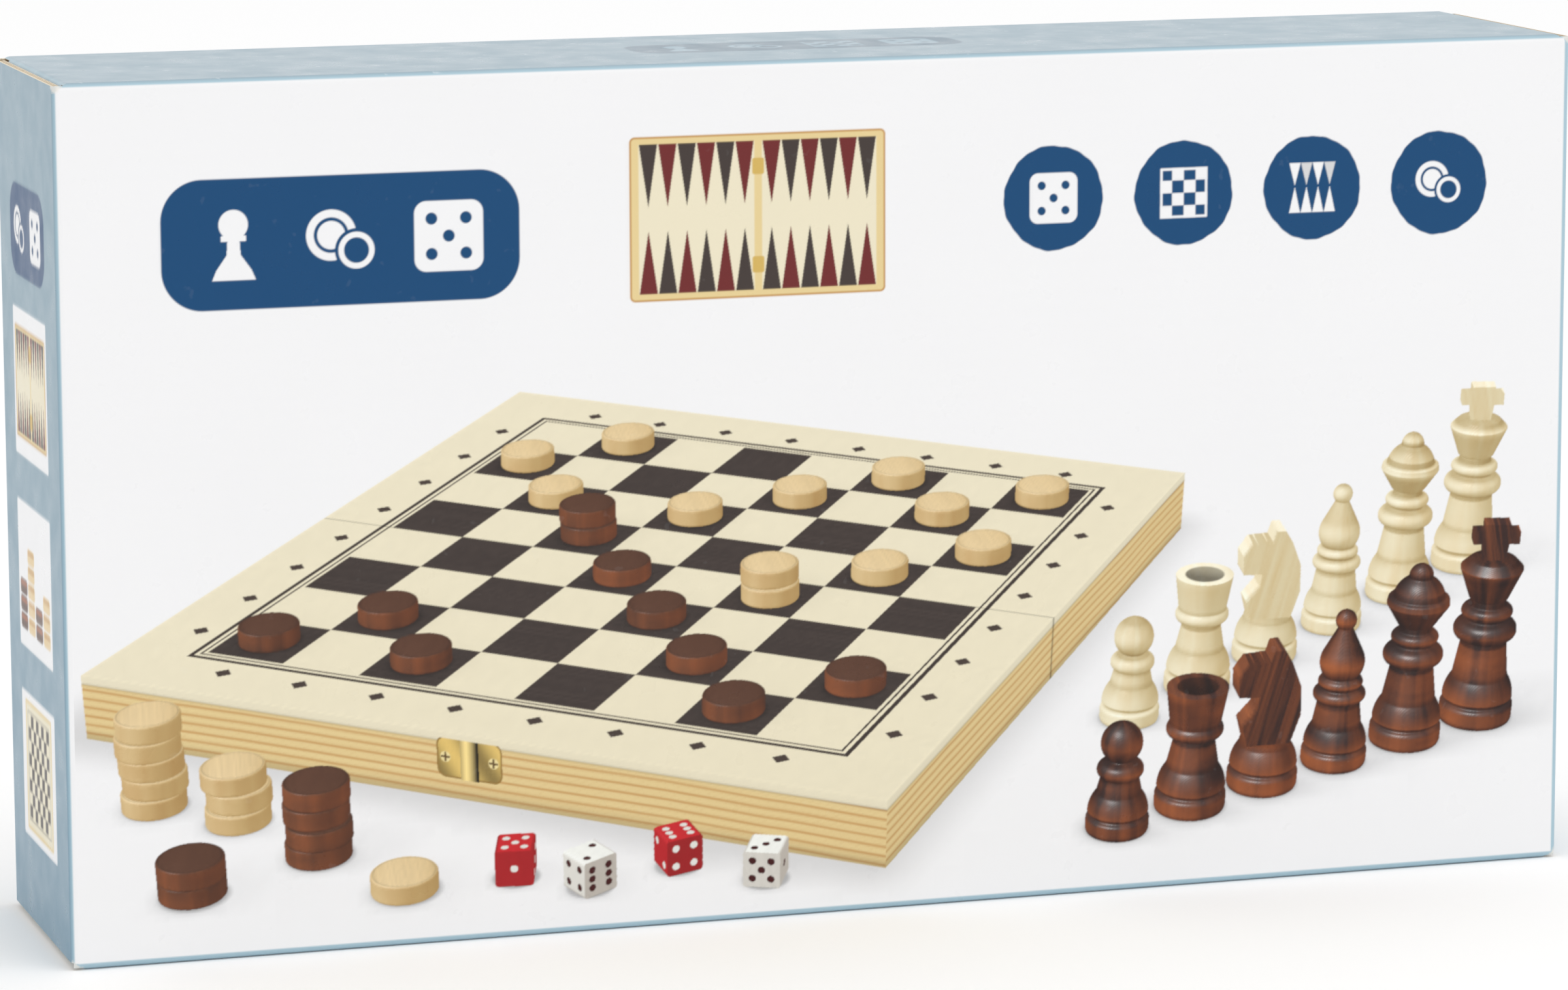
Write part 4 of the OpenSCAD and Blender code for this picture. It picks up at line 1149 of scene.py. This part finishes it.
class Panel:
    """One panel of fine-flute board, in place of a CAD plate: a printed liner, flutes and a kraft liner.
    a and w are the straight part's limits along and across the flutes, and out is the printed side.
    folds holds the angles that the liner turns through at a's and w's two ends, or 0 where it is cut.
    ends gives a's limits at places across, where they aren't straight. mats are the materials of the print,
    the kraft liner, the cuts and the flutes."""

    def __init__(self, node, body, origin, along, across, out, a, w, folds, mats, ends=None):
        self.node, self.body, self.a, self.w, self.folds, self.mats = node, body, a, w, folds, mats
        self.origin = np.asarray(origin, float)
        self.along, self.across, self.out = (unit(v) for v in (along, across, out))
        self.flip = bool(np.dot(np.cross(self.along, self.across), self.out) < 0)
        self.ends = ends or tuple(partial(np.full_like, fill_value=v) for v in a)
        self.inner_a, self.inner_w = (np.linspace(0, 1, n if ends else 2) for n in (9, 61))
        self.lines_a = self.lines(*folds[:2], self.inner_a)
        self.lines_w = self.lines(*folds[2:], self.inner_w)
        # The bake's map: the print at full scale along its foot, its back above it, and the rims in strips
        spans = (a[1] - a[0] + 2 * T, w[1] - w[0] + 2 * T)
        self.wide, self.tall = max(spans), min(spans)
        self.lies_along = spans[0] == self.wide
        self.back_scale = min(1, (self.wide - self.tall - 11) / self.tall)

    def lines(self, low_fold, high_fold, inner):
        """Sides and values of the lines one way: side -1 or 1 with the turn in degrees in a fold,
        and side 0 with its share of the straight part between them."""
        low = np.linspace(low_fold, 0, ARC_LINES + 1)[:-1] if low_fold else inner[:0]
        high = np.linspace(0, high_fold, ARC_LINES + 1)[1:] if high_fold else inner[:0]
        return np.repeat((-1, 0, 1), (len(low), len(inner), len(high))), np.concatenate([low, inner, high])

    def place(self, a, w, depth):
        """The points that lie a along, w across and depth under the printed face."""
        a, w, depth = a[..., None], w[..., None], depth[..., None]
        return self.origin + a * self.along + w * self.across - depth * self.out

    def spread(self, w, inner):
        """Places along the straight part, by their shares, at places across."""
        low, high = (end(np.clip(w, *self.w))[:, None] for end in self.ends)
        return low + inner * (high - low), low, high

    def surface(self, depth):
        """Places along, across and under the printed face, of the surface that lies `depth` under it."""
        r = T - depth
        (side_a, at_a), (side_w, at_w) = self.lines_a, self.lines_w
        turn_a, turn_w = (np.radians(np.where(side, at, 0)) for side, at in (self.lines_a, self.lines_w))
        w0, w1 = self.w
        w = np.select([side_w < 0, side_w > 0], [w0, w1], w0 + at_w * (w1 - w0)) + side_w * r * np.sin(turn_w)
        straight, low, high = self.spread(w, at_a)
        a = np.select([side_a < 0, side_a > 0], [low, high], straight) + side_a * r * np.sin(turn_a)
        under = np.maximum((T - r * np.cos(turn_w))[:, None], T - r * np.cos(turn_a))
        return a, np.broadcast_to(w[:, None], a.shape), under

    def spot(self, a, w, is_back):
        """Places on the bake's map of points on the print or, above it, on the print's back."""
        p, q = a - self.a[0] + T, w - self.w[0] + T
        if not self.lies_along:
            p, q = q, p
        k = self.back_scale if is_back else 1
        return np.stack([p * k, q * k + is_back * (self.tall + 2)], -1) / (self.wide + 1)

    def strip(self, number, count):
        """Places on the bake's map of a cut rim."""
        rise = self.tall * (1 + self.back_scale) + 4 + 1.6 * number + np.array([0, 0.8])[:, None]
        run = np.linspace(0, self.wide, count)[None, :]
        return np.stack(np.broadcast_arrays(run, rise), -1) / (self.wide + 1)

    def colours(self, shape, art, tint, wrap):
        """The print over the panel and its folds. wrap is the next panel's tint, which on the front is paled
        by a painted highlight, and the turn in degrees at which it takes over at a's and w's two ends."""
        (side_a, at_a), (side_w, at_w) = self.lines_a, self.lines_w
        turn = np.maximum(np.where(side_w, at_w, 0)[:, None], np.where(side_a, at_a, 0))
        colours = art.look(*self.surface(0)[:2]) if art else np.broadcast_to(tint, shape)
        if wrap:
            start_a, start_w = (np.select([side < 0, side > 0], start, 90) for side, start in
                                ((side_a, wrap[1][:2]), (side_w, wrap[1][2:])))
            start = np.minimum(start_w[:, None], start_a)
            colours = blend(colours, wrap[0], np.clip((turn - start) / 9, 0, 1))
        # Painted highlight: the folds of the blue panels turn pale, partly as ink stretched over them
        if tint is BLUE:
            colours = blend(colours, FOLD_PALE_INK_AND_HIGHLIGHT, np.clip((turn - 15) / 25, 0, 1) * 0.6)
        return colours

    def liner(self, art=None, tint=BLUE, wrap=None):
        """The printed liner, which turns round the folds."""
        shell = Shell()
        a, w, depth = self.surface(0)
        front = self.place(a, w, depth)
        flat = [(side[:-1] == 0) & (side[1:] == 0) for side, _ in (self.lines_w, self.lines_a)]
        shell.grid(front, 0, self.colours(a.shape + (3,), art, tint, wrap), self.flip,
                   flat[0][:, None] & flat[1] if art else None, spots=self.spot(a, w, 0))
        if art:
            a, w = art.points.T
            quads = art.quads[:, ::-1] if self.flip else art.quads
            shell.raw(self.place(a, w, np.zeros_like(a)), quads, 0, art.colours, spots=self.spot(a, w, 0))
        a, w, depth = self.surface(LINER)
        back = self.place(a, w, depth)
        shell.grid(back, 1, flip=not self.flip, spots=self.spot(a, w, 1))
        for i, (pick, turned) in enumerate(RIMS):
            shell.grid(np.stack([back[pick], front[pick]]), 2, PAPER_EDGE, self.flip ^ turned, smooth=False,
                       spots=self.strip(i, len(front[pick])))
        return shell.out(self.node + ".liner", self.mats, True, art is not None)

    def close(self, shell, front, back, mat, rims=RIMS):
        for pick, turned in rims:
            shell.grid(np.stack([back[pick], front[pick]]), mat, flip=self.flip ^ turned, smooth=False)

    def core(self):
        """The fluted core and the kraft liner, over the straight part."""
        shell = Shell()
        w0, w1 = self.w
        flute_w = np.linspace(w0 + 0.02, w1 - 0.02, max(8, int((w1 - w0) / FLUTE * FLUTE_SAMPLES)))
        mid, swing = (LINER + T - INNER) / 2, (T - INNER - LINER) / 2 - 0.11
        wave = mid + swing * np.sin(2 * math.pi * (flute_w - w0) / FLUTE + 0.6)
        _, low, high = self.spread(flute_w, 0)
        low, high = low + (0 if self.folds[0] else 0.12), high - (0 if self.folds[1] else 0.12)
        a = np.hstack([low, np.maximum(high, low + 0.01)])
        flute = [self.place(a, *np.broadcast_arrays(flute_w[:, None], (wave + half)[:, None], a)[:2])
                 for half in (-FLUTE_SHEET / 2, FLUTE_SHEET / 2)]
        w = w0 + self.inner_w * (w1 - w0)
        a, _, _ = self.spread(w, self.inner_a)
        w = np.broadcast_to(w[:, None], a.shape)
        skin = [self.place(a, w, np.full(a.shape, depth)) for depth in (T - INNER, T)]
        for mat, (front, back), rim_mat, rims in ((1, flute, 1, RIMS[2:]), (0, skin, 2, RIMS)):
            shell.grid(front, mat, flip=self.flip)
            shell.grid(back, mat, flip=not self.flip)
            self.close(shell, front, back, rim_mat, rims)
        # Cuts along the flutes crush them shut
        for fold, w, rim in ((self.folds[2], w0 + 0.06, RIMS[0]), (self.folds[3], w1 - 0.06, RIMS[1])):
            if not fold:
                a, _, _ = self.spread(np.array([w]), self.inner_a)
                self.close(shell, *(self.place(a, np.full_like(a, w), np.full_like(a, depth))
                                    for depth in (LINER, T - INNER)), 2, [rim])
        _, inside, cut, medium = self.mats
        return shell.out(self.node + ".core", [inside, medium, cut])

    def build(self, slot="blue_board", **printed):
        for piece, its_slot in ((self.liner(**printed), slot), (self.core(), "kraft_board")):
            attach(piece, self.body)
            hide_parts(self.node)


# ---- Carton ----

X, Y, Z = (1, 0, 0), (0, 1, 0), (0, 0, 1)
LEVELS = ("top", -1, Z_TOP), ("bottom", 1, 0.0)
GLUE_DEPTH = 25.0
TONGUE_LEAN, TONGUE_LENGTH, TONGUE_SHOULDER, TONGUE_ROUND = math.radians(14), 14.5, 4.0, 9.0
TONGUE_FOLD = 59
DUST_LENGTH, DUST_ROOT, DUST_TAIL, DUST_ROUND = 42.0, 2.0, 54.6, 5.0
DUST_ANGLES = math.radians(32), math.radians(6)
# Painted highlight: the front's folds wrap to a paled blue, which starts at a small turn at the foot and the
# right end
FRONT_WRAP = BLUE * 0.25 + FOLD_PALE_INK_AND_HIGHLIGHT * 0.75, (32, 4, 2, 26)


def glue_inset(v):
    """How far the glue flap's ends stand in, at v in front of its crease."""
    return np.clip((v - 2 * T) / (GLUE_DEPTH - 2 * T), 0, 1) * GLUE_DEPTH / 2


def tongue_reach(high, v):
    """How far a tongue reaches at height v of a closure's height: its free corners are round."""
    near = np.minimum(v, high - v) - TONGUE_SHOULDER
    drop = np.clip(TONGUE_ROUND - near, 0, TONGUE_ROUND)
    arc = np.sqrt(np.maximum(TONGUE_ROUND ** 2 - drop ** 2, 0))
    return np.maximum(TONGUE_LENGTH - TONGUE_ROUND + arc, 0.3)


def dust_reach(v):
    """How far a dust flap reaches from its crease at v behind the carton's front."""
    reach = np.full_like(v, DUST_LENGTH)
    for start, way, angle in ((DUST_ROOT, 1, DUST_ANGLES[0]), (DUST_TAIL, -1, DUST_ANGLES[1])):
        from_side, slope = (v - start) * way, math.tan(angle)
        reach = np.minimum(reach, from_side / slope)
        # The round corner between this side and the free edge
        mid = DUST_LENGTH * slope + DUST_ROUND * (1 / math.cos(angle) - slope)
        arc = DUST_LENGTH - DUST_ROUND + np.sqrt(np.maximum(DUST_ROUND ** 2 - (from_side - mid) ** 2, 0))
        near = (from_side < mid) & (from_side > mid - DUST_ROUND * math.cos(angle))
        reach = np.where(near, np.minimum(reach, arc), reach)
    return np.maximum(reach, T + 0.05)


def carton():
    inside = kraft("kraft_liner", lin(196, 170, 134), lin(160, 130, 94))
    medium = kraft("kraft_medium", lin(206, 184, 150), lin(164, 138, 104))
    cut = kraft("cut_edge", lin(240, 231, 213), lin(214, 198, 170))
    mats_y, mats_z = ([print_material("print_" + across, across, glint_flecks), inside, cut, medium]
                      for across, glint_flecks in (("y", 0.30), ("z", 0.02)))
    width, sleeve, back = 2 * X_END, 2 * X_SLEEVE, 2 * X_BACK_PANEL

    Panel("front_panel", ROOT, (-X_END, Y_FRONT, 0), X, Z, (0, -1, 0), (T, width - T), (T, Z_TOP - T),
          (45,) * 4, mats_z).build("white_board", tint=WHITE, wrap=FRONT_WRAP, art=Art(
              front_picture((width, Z_TOP)), (T, T), (width - T, Z_TOP - T), (1536, 832), 235_000))
    Panel("top_panel", ROOT, (-X_SLEEVE, Y_FRONT, Z_TOP), X, Y, Z, (T, sleeve - T), (T, DEPTH - T),
          (45,) * 4, mats_y).build(art=Art(
              top_picture((sleeve, DEPTH)), (T, T), (sleeve - T, DEPTH - T), (768, 128), 20_000))
    Panel("bottom_panel", ROOT, (-X_SLEEVE, Y_FRONT, 0), X, Y, (0, 0, -1), (T, sleeve - T), (T, DEPTH),
          (45, 45, 45, 0), mats_y).build()
    Panel("back_panel", ROOT, (-X_BACK_PANEL, Y_BACK, T), X, Z, Y, (0, back), (T, Z_TOP - 2 * T),
          (0, 0, 45, 45), mats_z).build("white_board", tint=WHITE, art=Art(
              back_picture((back, Z_TOP - T)), (0, T), (back, Z_TOP - 2 * T), (640, 320), 40_000, True))
    glue = 2 * GLUE_HIGH[0]
    Panel("glue_flap", ROOT, (-glue / 2, Y_BACK, T), X, (0, -1, 0), (0, 0, -1), (0, glue), (T, GLUE_DEPTH),
          (0, 0, 45, 0), mats_y, (glue_inset, lambda v: glue - glue_inset(v))
          ).build("kraft_board", tint=KRAFT)
    for side, s in SIDES:
        closure(side, s, mats_z)
        for name, up, z in LEVELS:
            flap = f"{side}_{name}_dust_flap"
            Panel(flap, flap, (s * X_SLEEVE, Y_FRONT, z), (0, 0, up), Y, (s, 0, 0), (T, DUST_LENGTH),
                  (DUST_ROOT + 0.3, DUST_TAIL - 0.02), (45, 0, 0, 0), mats_y,
                  (partial(np.full_like, fill_value=T), dust_reach)).build()


def closure(side, s, mats):
    """An end's closure and its tuck tongue, which leans inwards."""
    node = side + "_closure"
    low, top = box_mm("left_closure")
    reach, high = top[1] - Y_FRONT, top[2] - low[2]
    Panel(node, node, (s * X_END, Y_FRONT, low[2]), Y, Z, (s, 0, 0), (T, reach - T), (0, high),
          (45, 45, 0, 0), mats).build(art=Art(
              end_picture((reach, high)), (T, 0), (reach - T, high), (128, 384), 25_000, s < 0))
    lean_in, lean_back = math.cos(TONGUE_LEAN), math.sin(TONGUE_LEAN)
    outward = np.array((-s * lean_back, lean_in, 0))
    crease = np.array((s * (X_END - T), Y_FRONT + reach - T, low[2]))
    Panel(side + "_tongue", node, crease + outward * T, (-s * lean_in, -lean_back, 0), Z, outward,
          (0, TONGUE_LENGTH), (TONGUE_SHOULDER, high - TONGUE_SHOULDER), (TONGUE_FOLD, 0, 0, 0), mats,
          (np.zeros_like, partial(tongue_reach, high))).build()


CREASE_REACH, CREASE_LINES = 0.15, 13


def creases():
    """The inner liner bridges each crease with a strip round the fold."""
    mat = kraft("kraft_crease", lin(188, 160, 122), lin(150, 120, 86))
    for side, s in SIDES:
        low, high = box_mm(side + "_closure")
        crease(mat, side + "_closure", (s * (X_END - T), Y_FRONT + T, 0), (-s, 0, 0), Y, 2,
               max(low[2], T), min(high[2], Z_TOP - T))
        for name, up, z in LEVELS:
            flap = f"{side}_{name}_dust_flap"
            low, high = box_mm(flap)
            crease(mat, flap, (s * (X_SLEEVE - T), 0, z + up * T), (-s, 0, 0), (0, 0, up), 1,
                   low[1] + 0.3, high[1] - 0.3)


def crease(mat, flap, place, fixed_way, flap_way, axis, low, high):
    """A strip of liner along an axis, from the fixed board's face to the flap's."""
    place, fixed_way, flap_way = (np.array(v, float) for v in (place, fixed_way, flap_way))
    into_board = -(fixed_way + flap_way) / math.sqrt(2)
    shares = np.linspace(0, 1, CREASE_LINES)
    rows = []
    for t, depth in [(t, 0.0) for t in shares] + [(t, INNER) for t in shares[::-1]]:
        p = place + CREASE_REACH * ((1 - t) * fixed_way + t * flap_way) + depth * into_board
        ends = np.stack([p, p])
        ends[:, axis] = low, high
        rows.append(ends)
    shell = Shell()
    flip = bool(np.cross(fixed_way, flap_way)[axis] > 0)
    shell.grid(np.stack(rows + rows[:1]), 0, flip=flip, smooth=False)
    for end, turned in ((0, flip), (1, not flip)):
        rim = np.stack([row[end] for row in rows])
        shell.grid(np.stack([rim[:CREASE_LINES], rim[:CREASE_LINES - 1:-1]]), 0, flip=turned, smooth=False)
    piece = shell.out(flap + ".crease", [mat])
    tuple((place + CREASE_REACH * fixed_way) / 1000)
    tuple((place + CREASE_REACH * flap_way) / 1000)
    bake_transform(piece)


# ---- Contents: two printed boards, and better materials for the CAD nodes ----

def playing_board(node, facing, mat, edge):
    """A half board with squares outside and points inside, in place of its plain CAD plate."""
    low, high = box_mm(node)
    size = high[0] - low[0], high[2] - low[2]
    shell = Shell()
    for draw, way in ((squares_picture, facing), (points_picture, -facing)):
        art = Art(draw(size), (0, 0), size, (512, 256), 26_000, mirror=way > 0)
        a, w = art.points.T
        y = np.full(len(a), (low if way < 0 else high)[1])
        shell.raw(np.stack([low[0] + a, y, low[2] + w], 1), art.quads if way < 0 else art.quads[:, ::-1], 0,
                  art.colours, smooth=False)
    ring = [(low[0], low[2]), (high[0], low[2]), (high[0], high[2]), (low[0], high[2])]
    for (x0, z0), (x1, z1) in zip(ring, ring[1:] + ring[:1]):
        rim = np.array([[(x0, y, z0), (x1, y, z1)] for y in (low[1], high[1])])
        shell.grid(rim, 1, flip=True, smooth=False)
    piece = shell.out(node + ".print", [mat, edge], True)
    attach(piece, ROOT)
    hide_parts(node)


def contents():
    pine = {along: wood("pine_" + along, lin(226, 196, 142), lin(196, 150, 92), along, 16) for along in "xz"}
    ply = wood("ply", lin(238, 227, 198), lin(222, 203, 164), ring=8, contrast=0.6)
    light = wood("turned_light", lin(232, 218, 184), lin(205, 180, 134), ring=10, gloss=0.28, contrast=0.7)
    dark = wood("turned_dark", lin(112, 66, 44), lin(58, 30, 20), ring=12, gloss=0.25)
    metal, white_plastic = brass(), (0.80, 0.78, 0.72)
    # The first entry that a node's name starts or ends with gives its material
    looks = (("front_board", ply), ("back_board", ply), ("end_rails", pine["z"]), ("_rail", pine["x"]),
             ("hinge_", metal), ("clasp_", metal), ("light_", light), ("dark_", dark), ("leaflet", leaflet()),
             ("red_dice", dice("red_dice", (0.50, 0.02, 0.025), (0.85, 0.84, 0.80))),
             ("white_dice", dice("white_dice", white_plastic, (0.012, 0.012, 0.014))),
             ("doubling_cube", dice("doubling_cube", white_plastic)))
    ply_print = printed_wood()
    playing_board("front_board", -1, ply_print, ply)
    playing_board("back_board", 1, ply_print, ply)
    for name, obj in frame["nodes"].items():
        if not obj.hide_render:
            obj.data.materials.clear()
            fits = (mat for part, mat in looks if name.startswith(part) or name.endswith(part))
            obj.data.materials.append(next(fits))


bpy.context.scene.view_settings.view_transform = "Standard"
camera()
world()
lamp("key", (0.7, -0.9, 2.3), (0, 0, 0.08), 1.4, 8)
floor()
carton()
creases()
contents()
